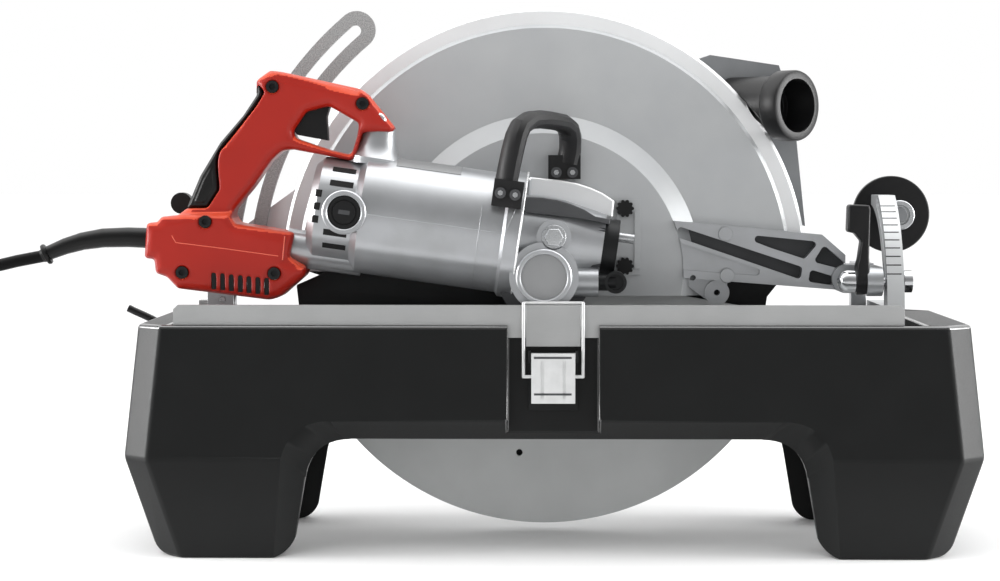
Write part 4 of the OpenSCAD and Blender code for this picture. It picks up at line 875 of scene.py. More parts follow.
class RepeatTree(ShapeTree):
    """Sets one shape on every point of a mesh, turned as the point's own attribute says."""

    def __init__(self, name: str, sides: int, hollow: bool) -> None:
        """Builds the tree.

        Args:
            name: Name of the tree.
            sides: Sides of the shape, 4 for a bar and more for a round head.
            hollow: Whether a hexagon socket is cut into it.
        """
        super().__init__(name, ("Width", "Length", "Height", "Socket radius"))
        tree, given = self.tree, self.given
        if sides == 4:
            size = put(
                tree,
                "ShaderNodeCombineXYZ",
                links={"X": given["Length"], "Y": given["Width"], "Z": given["Height"]},
            ).outputs[0]
            shape = put(tree, "GeometryNodeMeshCube", links={"Size": size}).outputs[0]
        else:
            shape = put(
                tree,
                "GeometryNodeMeshCylinder",
                links={"Vertices": sides, "Radius": given["Width"], "Depth": given["Height"]},
            ).outputs[0]
        if hollow:
            hexagon = put(
                tree,
                "GeometryNodeMeshCylinder",
                links={"Vertices": 6, "Radius": given["Socket radius"], "Depth": given["Height"]},
            ).outputs[0]
            lift = put(tree, "ShaderNodeCombineXYZ", links={"Z": given["Length"]}).outputs[0]
            raised = put(
                tree, "GeometryNodeTransform", links={"Geometry": hexagon, "Translation": lift}
            ).outputs[0]
            cut = put(tree, "GeometryNodeMeshBoolean", {"operation": "DIFFERENCE"})
            tree.links.new(shape, cut.inputs[0])
            tree.links.new(raised, cut.inputs[1])
            shape = cut.outputs[0]
        turn = put(
            tree, "GeometryNodeInputNamedAttribute", {"data_type": "FLOAT_VECTOR"}, {"Name": "turn"}
        ).outputs[0]
        rotation = put(tree, "FunctionNodeEulerToRotation", links={0: turn}).outputs[0]
        copies = put(
            tree,
            "GeometryNodeInstanceOnPoints",
            links={"Points": given["Geometry"], "Instance": shape, "Rotation": rotation},
        ).outputs[0]
        self.close(copies)

    def make(
        self,
        name: str,
        places: Sequence[Matrix],
        sizes: dict[str, float],
        finish: Finish,
    ) -> bpy.types.Object:
        """Sets the shape at each place and turns the result into a plain mesh.

        Args:
            name: Name of the piece.
            places: Matrix of each copy, in metres.
            sizes: Sizes in millimetres by input name.
            finish: Surface.

        Returns:
            The mesh object.
        """
        mesh = bpy.data.meshes.new(name)
        mesh.from_pydata([tuple(p.translation) for p in places], [], [])
        turns = mesh.attributes.new("turn", "FLOAT_VECTOR", "POINT")
        turns.data.foreach_set("vector", [x for p in places for x in p.to_euler()])
        made = new_object(name, mesh)
        self.run_on(made, sizes, finish)
        return baked(made)


class TubeTree(ShapeTree):
    """Runs a round section along curves."""

    def __init__(self, name: str) -> None:
        """Builds the tree.

        Args:
            name: Name of the tree.
        """
        super().__init__(name, ("Radius",))
        tree, given = self.tree, self.given
        ring = put(
            tree, "GeometryNodeCurvePrimitiveCircle", links={"Resolution": 12, "Radius": given["Radius"]}
        ).outputs[0]
        tube = put(
            tree,
            "GeometryNodeCurveToMesh",
            links={"Curve": given["Geometry"], "Profile Curve": ring, "Fill Caps": True},
        ).outputs[0]
        self.close(put(tree, "GeometryNodeSetShadeSmooth", links={0: tube}).outputs[0])

    def make(
        self,
        name: str,
        lines: Sequence[Sequence[Vector]],
        radius_mm: float,
        finish: Finish,
    ) -> bpy.types.Object:
        """Runs the section along each line and turns the result into a plain mesh.

        Args:
            name: Name of the piece.
            lines: Points of each line, in metres.
            radius_mm: Radius of the section.
            finish: Surface.

        Returns:
            The mesh object.
        """
        curve = bpy.data.curves.new(name + "_line", "CURVE")
        curve.dimensions = "3D"
        for line in lines:
            spline = curve.splines.new("POLY")
            spline.points.add(len(line) - 1)
            for point, spot in zip(spline.points, line):
                point.co = (*spot, 1.0)
        draft = bpy.data.objects.new(name + "_line", curve)
        bpy.context.scene.collection.objects.link(draft)
        self.run_on(draft, {"Radius": radius_mm}, finish)
        graph = bpy.context.evaluated_depsgraph_get()
        made = new_object(name, bpy.data.meshes.new_from_object(draft.evaluated_get(graph)))
        bpy.data.objects.remove(draft)
        bpy.data.curves.remove(curve)
        return made


# Turns that point a frame's Z to the near side, and along X
FACING = Matrix.Rotation(math.pi / 2, 4, "X")
FORWARD = Matrix.Rotation(math.pi / 2, 4, "Y")


@dataclass
class Frames:
    """Places that every sub-assembly is measured from, as the CAD source has them."""

    arbor: tuple[float, float, float] = (-7.5, 35.0, 225.0)
    sole: float = 177.0
    tilt: float = 8.0
    gear_c: float = 29.2
    motor_out: float = 92.0

    def at_arbor(self) -> Matrix:
        """Returns the frame of the arbor in the blade plane."""
        return Matrix.Translation(Vector(self.arbor) * MM)

    def at_motor(self) -> Matrix:
        """Returns the frame of the motor: X up, Z along the axis to the rear."""
        lean = math.radians(self.tilt)
        spot = Vector((self.gear_c * math.sin(lean), -self.motor_out, self.gear_c * math.cos(lean))) * MM
        return self.at_arbor() @ Matrix.Translation(spot) @ Matrix.Rotation(lean - math.pi / 2, 4, "Y")

    def facing(self, x: float, y: float, z: float) -> Matrix:
        """Gives a frame that looks to the near side.

        Args:
            x: Place along X in millimetres.
            y: Place along Y.
            z: Place along Z.

        Returns:
            A frame with the row's X, whose Z points to the near side.
        """
        return Matrix.Translation(Vector((x, y, z)) * MM) @ FACING

    def on_motor(self, r: float, degrees: float, z: float) -> Vector:
        """Gives a point on a cylinder about the motor's axis.

        Args:
            r: Radius in millimetres.
            degrees: Angle up from the near side.
            z: Place along the axis.

        Returns:
            The point in metres.
        """
        a = math.radians(degrees)
        return self.at_motor() @ (Vector((r * math.sin(a), -r * math.cos(a), z)) * MM)


PLACES = Frames()
# Thickness of a painted line, in millimetres
INLAY = 0.3
BARS = RepeatTree("repeated_bars", 4, hollow=False)
SCREWS = RepeatTree("repeated_socket_screws", 24, hollow=True)
HEXES = RepeatTree("repeated_hexagons", 6, hollow=False)
TUBES = TubeTree("round_section")
# Sizes of what repeats, in millimetres: for a screw, Length is how far its socket is raised
HANDLE_SCREW = {"Width": 5.0, "Height": 5.0, "Length": 2.6, "Socket radius": 2.7}
FRONT_SCREW = {"Width": 4.5, "Height": 4.0, "Length": 2.2, "Socket radius": 2.5}
FRONT_SCREW_FLOOR = {"Width": 2.3, "Height": 0.6}
BOX_VENT = {"Length": 3.4, "Width": 13.6, "Height": 1.0}
BRUSH_SLOT = {"Length": 3.4, "Width": 9.0, "Height": 0.4}


@dataclass
class Studio:
    """Camera, floor and soft light.

    Attributes:
        focal_px: Focal length in pixels of the picture.
        vanishing: Pixel that lines along Y run to.
        eye: Place of the camera in millimetres.
        bands: Angles over the saw from front to back in degrees, and the brightness that metal mirrors.
        ambient: Brightness that lights the surfaces.
        lamps: Name, place and side in metres, power in watts, and whether reflections show it.
    """

    focal_px: float = 2383.0
    vanishing: tuple[float, float] = (544.0, 172.0)
    eye: tuple[float, float, float] = (-7.5, -2015.0, 309.3)
    sensor_mm: float = 36.0
    floor_mm: float = 60000.0
    bands: Outline = (
        (0, 0.42), (14, 0.26), (32, 0.26), (52, 0.5), (68, 1.3), (80, 2.6), (92, 4.0), (104, 2.8), (130, 1.7),
        (160, 1.2), (180, 0.9),
    )
    brightest: float = 4.0
    ambient: float = 1.04
    card_box: tuple[Sequence[float], Sequence[float]] = ((-4000, -8000, 6), (4000, -260, 8))
    lamps: Sequence[tuple[str, tuple[float, float, float], float, float, bool]] = (
        ("key", (-1.9, -2.3, 2.6), 2.2, 22.0, False),
        ("fill", (2.3, -2.0, 1.7), 2.2, 8.0, False),
        ("left_strip", (-2.4, -0.2, 0.45), 1.2, 60.0, True),
        ("right_strip", (2.4, -0.2, 0.45), 1.2, 60.0, True),
    )
    lamp_aim: tuple[float, float, float] = (0.0, 0.0, 0.2)

    def build(self) -> None:
        """Makes the camera at the photograph's angle, the floor, the lamps and the world."""
        scene = bpy.context.scene
        scene.view_settings.view_transform = "Standard"
        lens = bpy.data.cameras.new("studio_camera")
        lens.sensor_width = self.sensor_mm
        lens.lens = self.focal_px / IMAGE_SIZE[0] * self.sensor_mm
        camera = bpy.data.objects.new("studio_camera", lens)
        scene.collection.objects.link(camera)
        aim = Vector(
            (
                (IMAGE_SIZE[0] / 2 - self.vanishing[0]) / self.focal_px,
                1.0,
                (self.vanishing[1] - IMAGE_SIZE[1] / 2) / self.focal_px,
            )
        )
        camera.location = Vector(self.eye) * MM
        camera.rotation_euler = aim.to_track_quat("-Z", "Y").to_euler()
        scene.camera = camera
        self.floor()
        self.card()
        for lamp in self.lamps:
            self.lamp(*lamp)
        self.sky()

    def floor(self) -> None:
        """Makes the pale floor."""
        half = self.floor_mm / 2
        plane = block("studio_floor", (-half, -half, -4.0), (half, half, -0.2), Matrix.Identity(4))
        plane.data.materials.append(PAPER.material())

    def card(self) -> None:
        """Lays a grey card before the saw that only reflections see."""
        card = block("grey_card", *self.card_box, Matrix.Identity(4))
        card.data.materials.append(FELT.material())
        card.visible_camera = False
        card.visible_diffuse = False
        card.visible_transmission = False
        card.visible_shadow = False

    def lamp(
        self, name: str, spot: tuple[float, float, float], side: float, power: float, mirrored: bool
    ) -> None:
        """Makes a square soft lamp aimed at the saw.

        Args:
            name: Name of the lamp.
            spot: Place in metres.
            side: Side of the square in metres.
            power: Power in watts.
            mirrored: Whether reflections show it.
        """
        data = bpy.data.lights.new(name, "AREA")
        data.energy = power
        data.size = side
        lamp = bpy.data.objects.new(name, data)
        lamp.location = spot
        lamp.visible_glossy = mirrored
        lamp.rotation_euler = (Vector(self.lamp_aim) - Vector(spot)).to_track_quat("-Z", "Y").to_euler()
        bpy.context.scene.collection.objects.link(lamp)

    def sky(self) -> None:
        """Makes the world white where it is seen, and softer where it lights the object."""
        world = bpy.data.worlds.new("studio")
        bpy.context.scene.world = world
        world.use_nodes = True
        tree = world.node_tree
        tree.nodes.clear()
        ray = put(tree, "ShaderNodeLightPath").outputs
        seen = put(
            tree,
            "ShaderNodeMath",
            {"operation": "MAXIMUM"},
            {0: ray["Is Camera Ray"], 1: ray["Is Transmission Ray"]},
        ).outputs[0]
        shown = put(tree, "ShaderNodeBackground", links={"Color": (1, 1, 1, 1), "Strength": 1.0}).outputs[0]
        way = put(tree, "ShaderNodeTexCoord").outputs["Generated"]
        parts = put(tree, "ShaderNodeSeparateXYZ", links={0: way}).outputs
        ahead = put(tree, "ShaderNodeMath", {"operation": "MULTIPLY"}, {0: parts["Y"], 1: -1.0}).outputs[0]
        turn = put(tree, "ShaderNodeMath", {"operation": "ARCTAN2"}, {0: parts["Z"], 1: ahead}).outputs[0]
        share = put(tree, "ShaderNodeMapRange", links={"Value": turn, "From Max": math.pi}).outputs[0]
        ramp = put(tree, "ShaderNodeValToRGB", links={0: share})
        stops = ramp.color_ramp.elements
        stops.remove(stops[1])
        for i, (degrees, level_here) in enumerate(self.bands):
            stop = stops[0] if i == 0 else stops.new(degrees / 180)
            stop.color = (*[level_here / self.brightest] * 3, 1.0)
        light = put(
            tree, "ShaderNodeBackground", links={"Color": ramp.outputs[0], "Strength": self.brightest}
        ).outputs[0]
        even = put(
            tree, "ShaderNodeBackground", links={"Color": (1, 1, 1, 1), "Strength": self.ambient}
        ).outputs[0]
        lit = put(tree, "ShaderNodeMixShader", links={0: ray["Is Glossy Ray"], 1: even, 2: light}).outputs[0]
        mix = put(tree, "ShaderNodeMixShader", links={0: seen, 1: lit, 2: shown}).outputs[0]
        put(tree, "ShaderNodeOutputWorld", links={"Surface": mix})


@dataclass
class Cord:
    """Supply cord: a lead that falls from the strain relief, a stored coil, its tie and plug."""

    diameter: float = 10.0
    relief_at: tuple[float, float] = (-322.0, 29.5)
    relief_l: float = 92.3
    relief_dip: float = 9.0
    route: Outline = (
        (-442, 236), (-463, 231), (-484, 222), (-503, 207), (-517, 187), (-526, 162), (-531, 132),
        (-534, 102), (-538, 72), (-546, 45), (-560, 23), (-579, 10),
    )
    coil_x: float = -612.0
    turns: int = 3
    across: float = 12.0
    lift: float = 2.0
    layer_gap: float = 0.7
    rings: int = 24

    def path(self) -> list[Vector]:
        """Returns the cord's centreline in metres, from the strain relief to the plug."""
        y = PLACES.arbor[1] - PLACES.motor_out
        dip = math.radians(self.relief_dip)
        points = [
            Vector(
                (
                    PLACES.arbor[0] + self.relief_at[0] - self.relief_l * math.cos(dip),
                    y,
                    PLACES.arbor[2] + self.relief_at[1] - self.relief_l * math.sin(dip),
                )
            )
        ]
        points += [Vector((x, y, z)) for x, z in self.route]
        step = self.diameter + self.layer_gap
        back = self.turns + 0.25
        middle = self.across * self.diameter / 2
        inner = middle - step * back / 2
        centre = Vector((self.coil_x, y + middle + step * back / 2))
        rest = self.diameter / 2 + self.lift
        start = Vector((self.coil_x, y, rest))
        points += [start + Vector((self.diameter * 1.5, 0, 0)), start + Vector((self.diameter, 0, 0))]
        total = 2 * self.turns + 0.5
        for i in range(int(self.rings * total) + 1):
            n = i / self.rings
            a = math.radians(-90 - 360 * n)
            r = inner + step * abs(n - back)
            z = rest + step * min(1.0, max(0.0, 2 * (n - self.turns)))
            points.append(Vector((centre.x + r * math.cos(a), centre.y + r * math.sin(a), z)))
        points.append(points[-1] + Vector((self.diameter, 0, 0)))
        return [p * MM for p in points]

    def build(self) -> None:
        """Makes the cord as one tube along its path, and dresses its tie and plug."""
        points = self.path()
        cord = TUBES.make("supply_cord", [points], self.diameter / 2, CORD_RUBBER)
        cord.data.materials.clear()
        cord.data.materials.append(CORD_RUBBER.material())
        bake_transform(cord)
        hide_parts("cord_lead", "cord_coil")
        tie = dress("cord_tie", Dressing(GRIP_RUBBER, "grip_rubber", 0.4))
        plug = dress("cord_plug", Dressing(BLACK_NYLON, "black_plastic", 0.5))


@dataclass
class Stand:
    """Moulded stand with its draw latch, drawn as the CAD source has it."""

    length: float = 692.0
    width: float = 260.0
    height: float = 187.0
    waist: float = 80.0
    leg_inset: tuple[float, float] = (26.0, 9.0)
    top_inset: tuple[float, float] = (10.5, 10.5)
    corner: float = 21.0
    arch: tuple[float, float] = (-211.0, 216.0)
    arch_h: float = 94.0
    arch_lean: float = 16.0
    arch_r: float = 38.0
    flare_side: float = 20.0
    flare_top: float = 19.0
    flare_depth: float = 28.0
    well: tuple[float, float, float, float] = (-269.5, 254.5, -93.0, 99.0)
    seat: tuple[float, float, float, float] = (-308.5, 297.5, -115.3, 115.3)
    recess: tuple[float, float, float] = (-36.5, 36.5, -112.0)
    recess_floor: float = 97.0
    end_arch: tuple[float, float] = (120.0, 46.0)
    foot_round: float = 20.0
    crease_r: float = 3.0
    edge_r: float = 1.8
    edge_least: float = 12.0
    rim_reach: float = 3.0
    overrun: float = 20.0
    groove_at: tuple[float, float] = (-0.4, -123.5)
    groove_heights: tuple[float, float] = (161.6, 132.4)
    groove_l: float = 30.0
    groove_w: float = 1.7
    hook_r: float = 3.2
    hook_y: float = 60.0
    hook_line: Outline = (
        (-371.0, 190.5), (-366.0, 188.0), (-357.0, 184.0), (-350.6, 181.0), (-345.0, 178.0),
        (-340.0, 176.0), (-332.3, 176.1),
    )

    def ring(self, inset: tuple[float, float]) -> list[tuple[float, float]]:
        """Draws the stand's outline with cut corners.

        Args:
            inset: How far it is drawn in from the waist, along X and Y.

        Returns:
            Corners in X and Y.
        """
        x, y, c = self.length / 2 - inset[0], self.width / 2 - inset[1], self.corner
        front = [(x - c, -y), (x, -y + c), (x, y - c), (x - c, y)]
        return front + [(-px, -py) for px, py in front]

    def shell(self) -> bpy.types.Object:
        """Returns the outer form: two tapers that meet at the waist."""
        levels = [(0.0, self.leg_inset), (self.waist, (0.0, 0.0)), (self.height, self.top_inset)]
        rings = [[Vector((x, y, z)) * MM for x, y in self.ring(inset)] for z, inset in levels]
        return soften(lofted("stand_shell_moulding", rings), self.crease_r, segments=3, angle=8.0)

    def arch_outline(self, share: float) -> list[tuple[float, float]]:
        """Draws the arch.

        Args:
            share: Share of its flare that it is opened out by.

        Returns:
            Its outline in X and Z.
        """
        side = self.flare_side * share
        top = self.arch_h + self.flare_top * share
        lean = self.arch_lean * top / self.arch_h
        rear, front = self.arch[0] - side, self.arch[1] + side
        corners = [(rear - lean, -top), (front + lean, -top), (front - lean, top), (rear + lean, top)]
        return filleted(corners, self.arch_r, 10)

    def arch_cutter(self) -> bpy.types.Object:
        """Returns the arch through both long sides, flared where it meets them."""
        half, flare = self.width / 2, self.flare_depth
        over = 0.1
        levels = [
            (-half - over * flare, 1 + over), (-half + flare, 0.0),
            (half - flare, 0.0), (half + over * flare, 1 + over),
        ]
        rings = [[Vector((x, y, z)) * MM for x, z in self.arch_outline(share)] for y, share in levels]
        return lofted("arch_cutter", rings)

    def corner_cutter(self, name: str, x: float, way: float, lean: float) -> bpy.types.Object:
        """Returns what rounds a lower corner of the legs, across the whole stand.

        Args:
            name: Name of the cutter.
            x: Place of the corner on the floor.
            way: 1 where the leg lies behind the corner, -1 where it lies before it.
            lean: Angle of the leg's side from the upright.

        Returns:
            The cutter.
        """
        r = self.foot_round
        back = r * (1 - math.sin(lean)) / math.cos(lean)
        steps = 8
        slack, below = 0.05, -4.0
        outline = []
        for i in range(steps + 1):
            a = -lean + (lean - math.pi / 2) * i / steps
            outline.append((-back + (r + slack) * math.cos(a), r + (r + slack) * math.sin(a)))
        outline += [(-back, below), (r, below), (r, r * (1 - math.sin(lean)))]
        outline = [(x + way * px, pz) for px, pz in outline]
        sides = [[Vector((px, y, pz)) * MM for px, pz in outline] for y in (-self.width, self.width)]
        return lofted(name, sides)

    def build(self) -> None:
        """Makes the moulding and dresses the latch."""
        shell = self.shell()
        here = Matrix.Identity(4)
        under, high = -self.overrun, self.height + self.overrun
        end_w, end_h = self.end_arch
        well, seat, recess = self.well, self.seat, self.recess
        leg_lean = math.atan(self.leg_inset[0] / self.waist)
        arch_lean = math.atan(self.arch_lean / self.arch_h)
        leg_end = self.length / 2 - self.leg_inset[0]
        cutters = [
            self.arch_cutter(),
            self.corner_cutter("rear_arch_corner", self.arch[0], 1.0, arch_lean),
            self.corner_cutter("front_arch_corner", self.arch[1], -1.0, arch_lean),
            self.corner_cutter("rear_leg_corner", -leg_end, -1.0, leg_lean),
            self.corner_cutter("front_leg_corner", leg_end, 1.0, leg_lean),
            block("well", (well[0], well[2], under), (well[1], well[3], high), here),
            block("seat", (seat[0], seat[2], PLACES.sole), (seat[1], seat[3], high), here),
            block(
                "latch_room", (recess[0], -self.width, self.recess_floor), (recess[1], recess[2], high), here
            ),
            block("end_arch", (-self.length, -end_w / 2, under), (self.length, end_w / 2, end_h), here),
        ]
        carved(shell, cutters)
        round_long_edges(shell, self.edge_r, self.edge_least)
        settle(shell, "stand", STAND_BLACK, ["stand_shell"])
        # Rounded rim and recess edges: glossier finish, and a paler colour as painted highlight
        shade_faces(shell, STAND_EDGE_HIGHLIGHT, self.on_edge)
        self.hook()
        for node in ("latch_lever", "latch_bail"):
            dress(node, Dressing(ZINC, "zinc"))
        dress("latch_keeper", Dressing(ROLLED_ALUMINIUM, "zinc"))
        dress("latch_base", Dressing(BLACK_OXIDE, "zinc"))
        self.latch_grooves()

    def on_edge(self, spot: Vector, way: Vector) -> bool:
        """Tells whether a face is on the rounded rim, or on the rounded sides of the latch's recess.

        Args:
            spot: Centre of the face in millimetres.
            way: Its normal.

        Returns:
            Whether it takes the glossy edge finish with its painted highlight.
        """
        rim = spot.z > self.height - self.rim_reach and 0.25 < way.z < 0.97
        beside = min(abs(spot.x - self.recess[0]), abs(spot.x - self.recess[1])) < self.rim_reach
        side = beside and spot.z > self.recess_floor and way.y < -0.2 and abs(way.x) > 0.2
        return rim or side

    def hook(self) -> None:
        """Bends the cord hook at the rear end."""
        line = [Vector((x, self.hook_y, z)) * MM for x, z in self.hook_line]
        hook = TUBES.make("cord_hook", [line], self.hook_r, BLACK_NYLON)
        settle(hook, "stand", BLACK_NYLON)

    def latch_grooves(self) -> None:
        """Lays two dark bars across the latch's lever plate: painted shade in its two grooves."""
        places = [PLACES.facing(*self.groove_at, z) for z in self.groove_heights]
        sizes = {"Length": self.groove_l, "Width": self.groove_w, "Height": INLAY}
        grooves = BARS.make("latch_grooves", places, sizes, DARK_CAST_AND_SHADE)
        settle(grooves, body_of_node("latch_lever"), DARK_CAST_AND_SHADE)


@dataclass
class FootAndBevel:
    """Foot plate, bevel quadrant with its scale, front disc and rear clevis."""

    quadrant_x: float = 279.0
    quadrant_r: float = 113.0
    hinge_rise: float = 13.0
    tick_w: float = 0.9
    tick_l: float = 12.0
    first_tick: float = 18.8
    tick_step: float = 3.89
    tick_count: int = 10
    foot_edge: float = 1.1
    far_rim: tuple[Sequence[float], Sequence[float]] = ((-400, 101, 186), (400, 130, 230))
    washer_at: tuple[float, float, float] = (292.0, -3.0, 273.0)
    washer_profile: Outline = (
        (8.1, -2.0), (12.5, -2.0), (12.5, -0.6), (11.9, 0.0), (8.6, 0.0), (8.1, -0.6),
    )
    lever_outline: Outline = (
        (240.1, 283.0), (256.9, 282.3), (257.7, 279.4), (256.9, 239.9), (257.5, 229.7), (257.5, 216.0),
        (247.0, 216.0), (247.0, 232.6), (248.6, 238.5), (250.6, 253.1), (245.2, 259.6), (239.4, 260.4),
    )
    lever_y: float = -65.0
    lever_half: float = 10.0
    hub_at: tuple[float, float, float] = (247.2, -65.0, 220.0)
    hub_profile: Outline = ((5.2, 0), (10.5, 0), (10.8, 0.4), (10.8, 7.6), (10.5, 8.0), (5.2, 8.0))

    def ticks(self) -> None:
        """Cuts the bevel scale into the quadrant's outer edge."""
        x, y, _ = PLACES.arbor
        centre = Vector((x + self.quadrant_x, y, PLACES.sole + self.hinge_rise)) * MM
        places = []
        for k in range(self.tick_count):
            lean = math.radians(180 - self.first_tick - self.tick_step * k)
            out = Vector((0, math.cos(lean), math.sin(lean)))
            spot = centre + out * self.quadrant_r * MM + Vector((self.tick_l / 2 * MM, 0, 0))
            side = Vector((1, 0, 0)).cross(out) * -1
            turn = Matrix((Vector((1, 0, 0)), side, out)).transposed().to_4x4()
            places.append(Matrix.Translation(spot) @ turn)
        sizes = {"Length": self.tick_l, "Width": self.tick_w, "Height": INLAY}
        settle(BARS.make("bevel_scale_ticks", places, sizes, INK_AND_SLOT_SHADE), "stand", INK_AND_SLOT_SHADE)

    def foot(self) -> None:
        """Dresses the foot plate, with its far edge left plain."""
        foot = merged_copy("foot_plate", "foot_plate_dressed")
        carved(foot, [block("far_rim", *self.far_rim, Matrix.Identity(4))])
        soften(foot, self.foot_edge)
        settle(foot, body_of_node("foot_plate"), ROLLED_ALUMINIUM, ["foot_plate"])

    def lever(self) -> None:
        """Cuts the bevel lever with its round-cornered finger pad."""
        pad = plate(
            "bevel_lever_moulding", [filleted(self.lever_outline, 3.0)], self.lever_half, 2.0,
            PLACES.facing(0.0, self.lever_y, 0.0),
        )
        hub = lathe("hub", self.hub_profile, Matrix.Translation(Vector(self.hub_at) * MM) @ FORWARD)
        made = smooth(joined("bevel_lever_piece", [pad, hub]))
        settle(made, body_of_node("bevel_lever"), BLACK_NYLON, ["bevel_lever"])

    def washer(self) -> None:
        """Turns the washer under the front disc's bolt."""
        ring = lathe("disc_washer", self.washer_profile, PLACES.facing(*self.washer_at))
        settle(level(smooth(ring)), body_of_node("roller_bolt"), STEEL)

    def build(self) -> None:
        """Dresses the foot and what is fixed to it."""
        self.foot()
        arc = dress("bevel_quadrant", Dressing(QUADRANT_SILVER, "cast_magnesium", 1.0))
        # The quadrant's faces turned to the rear take the darker grey: painted shade
        shade_faces(arc, GREY_PAINT_AND_SHADE, lambda spot, way: way.x < -0.6)
        for node in ("tilt_bracket", "rear_clevis"):
            dress(node, Dressing(CAST_SILVER, "cast_magnesium", 1.0))
        for node in ("depth_pin", "bevel_pins", "bracket_pin"):
            dress(node, Dressing(STEEL, "steel"))
        dress("roller_bolt", Dressing(GREY_PAINT_AND_SHADE, "steel", 0.8))
        for node in ("bevel_bolt", "bevel_nut"):
            dress(node, Dressing(CHROME, "bright_steel"))
        dress("quadrant_screws", Dressing(BLACK_OXIDE, "dark_steel", 0.4))
        self.lever()
        dress("front_roller", Dressing(BLACK_NYLON, "black_plastic", 0.6))
        self.ticks()
        self.washer()


@dataclass
class Guards:
    """Upper and lower guard, front arm, depth setting, dust port and blade."""

    arm_floor: float = -1.0
    band_r: float = 206.5
    port_at: tuple[float, float, float] = (212.0, -40.0, 140.0)
    port_turn: float = -45.0
    port_profile: Outline = (
        (22.8, 1.0), (27.6, 1.0), (29.2, 0.2), (29.8, -1.4), (29.8, -15.0), (28.4, -17.5), (26.2, -19.0),
        (25.3, -19.0), (25.3, -1.0), (22.8, -1.0),
    )
    bracket_from: float = 20.0
    # Outline of the dark sheet under the guard's rear edge: painted shade
    rear_shade_outline: Outline = (
        (-216.0, 214.3), (-187.4, 226.9), (-174.8, 232.6), (-27.7, 232.6), (-27.7, 191.0), (-213.4, 191.0),
    )
    rear_shade_y: float = -12.0

    def band(self, guard: bpy.types.Object) -> None:
        """Paints the guard's raised rim brighter than its face: painted highlight.

        Args:
            guard: Dressed upper guard.
        """
        guard.data.materials.append(GUARD_RIM_HIGHLIGHT.material())
        for face in guard.data.polygons:
            spots = [guard.data.vertices[i].co / MM for i in face.vertices]
            least = min(math.hypot(p.x - PLACES.arbor[0], p.z - PLACES.arbor[2]) for p in spots)
            if least > self.band_r:
                face.material_index = 1

    def rear_shroud(self) -> None:
        """Cuts a dark sheet under the guard's lower rear edge: painted shade."""
        sheet = plate(
            "rear_shroud", [filleted(self.rear_shade_outline, 2.0)], 1.0, 0.4, PLACES.facing(0.0, self.rear_shade_y, 0.0)
        )
        settle(smooth(sheet), body_of_node("upper_guard"), BLADE_BLACK_AND_SHADE)

    def port(self) -> None:
        """Dresses the dust port: a grey bracket with a black mouth."""
        port = dress("dust_port", Dressing(BLACK_NYLON, "black_plastic", 0.8))
        shade_faces(port, GREY_PAINT_AND_SHADE, lambda spot, way: spot.y > self.bracket_from and abs(way.y) > 0.9)
        here = (
            PLACES.at_arbor()
            @ Matrix.Translation(Vector(self.port_at) * MM)
            @ Matrix.Rotation(math.radians(self.port_turn), 4, "Z")
            @ FORWARD
        )
        mouth = lathe("dust_port_flange", self.port_profile, here)
        settle(smooth(mouth), body_of_node("dust_port"), BLACK_NYLON)

    def build(self) -> None:
        """Dresses the guards and what they carry."""
        self.band(dress("upper_guard", Dressing(GUARD_SILVER, "guard_magnesium", 0.8)))
        self.rear_shroud()
        dress("lower_guard", Dressing(LOWER_GREY, "guard_steel", 0.6))
        arm = dress("guard_arm", Dressing(CAST_SILVER, "cast_magnesium", 0.8))
        # Pocket floors take the dark grey: painted shade
        shade_faces(arm, DARK_CAST_AND_SHADE, lambda spot, way: way.y < -0.8 and spot.y > self.arm_floor)
        dress("arm_bolts", Dressing(CAST_SILVER, "steel"))
        dress("depth_bracket", Dressing(SPECKLED_GREY, "bracket_paint", 0.6))
        self.port()
        dress("depth_lever", Dressing(BLACK_NYLON, "black_plastic", 1.0))
        dress("blade", Dressing(BLADE_BLACK_AND_SHADE, "blade_black", 0.2))
        dress("blade_bolt", Dressing(BLACK_OXIDE, "dark_steel"))
        for node in ("depth_bolt", "blade_flanges", "arbor_shaft", "arbor_bearings"):
            dress(node, Dressing(STEEL, "steel"))


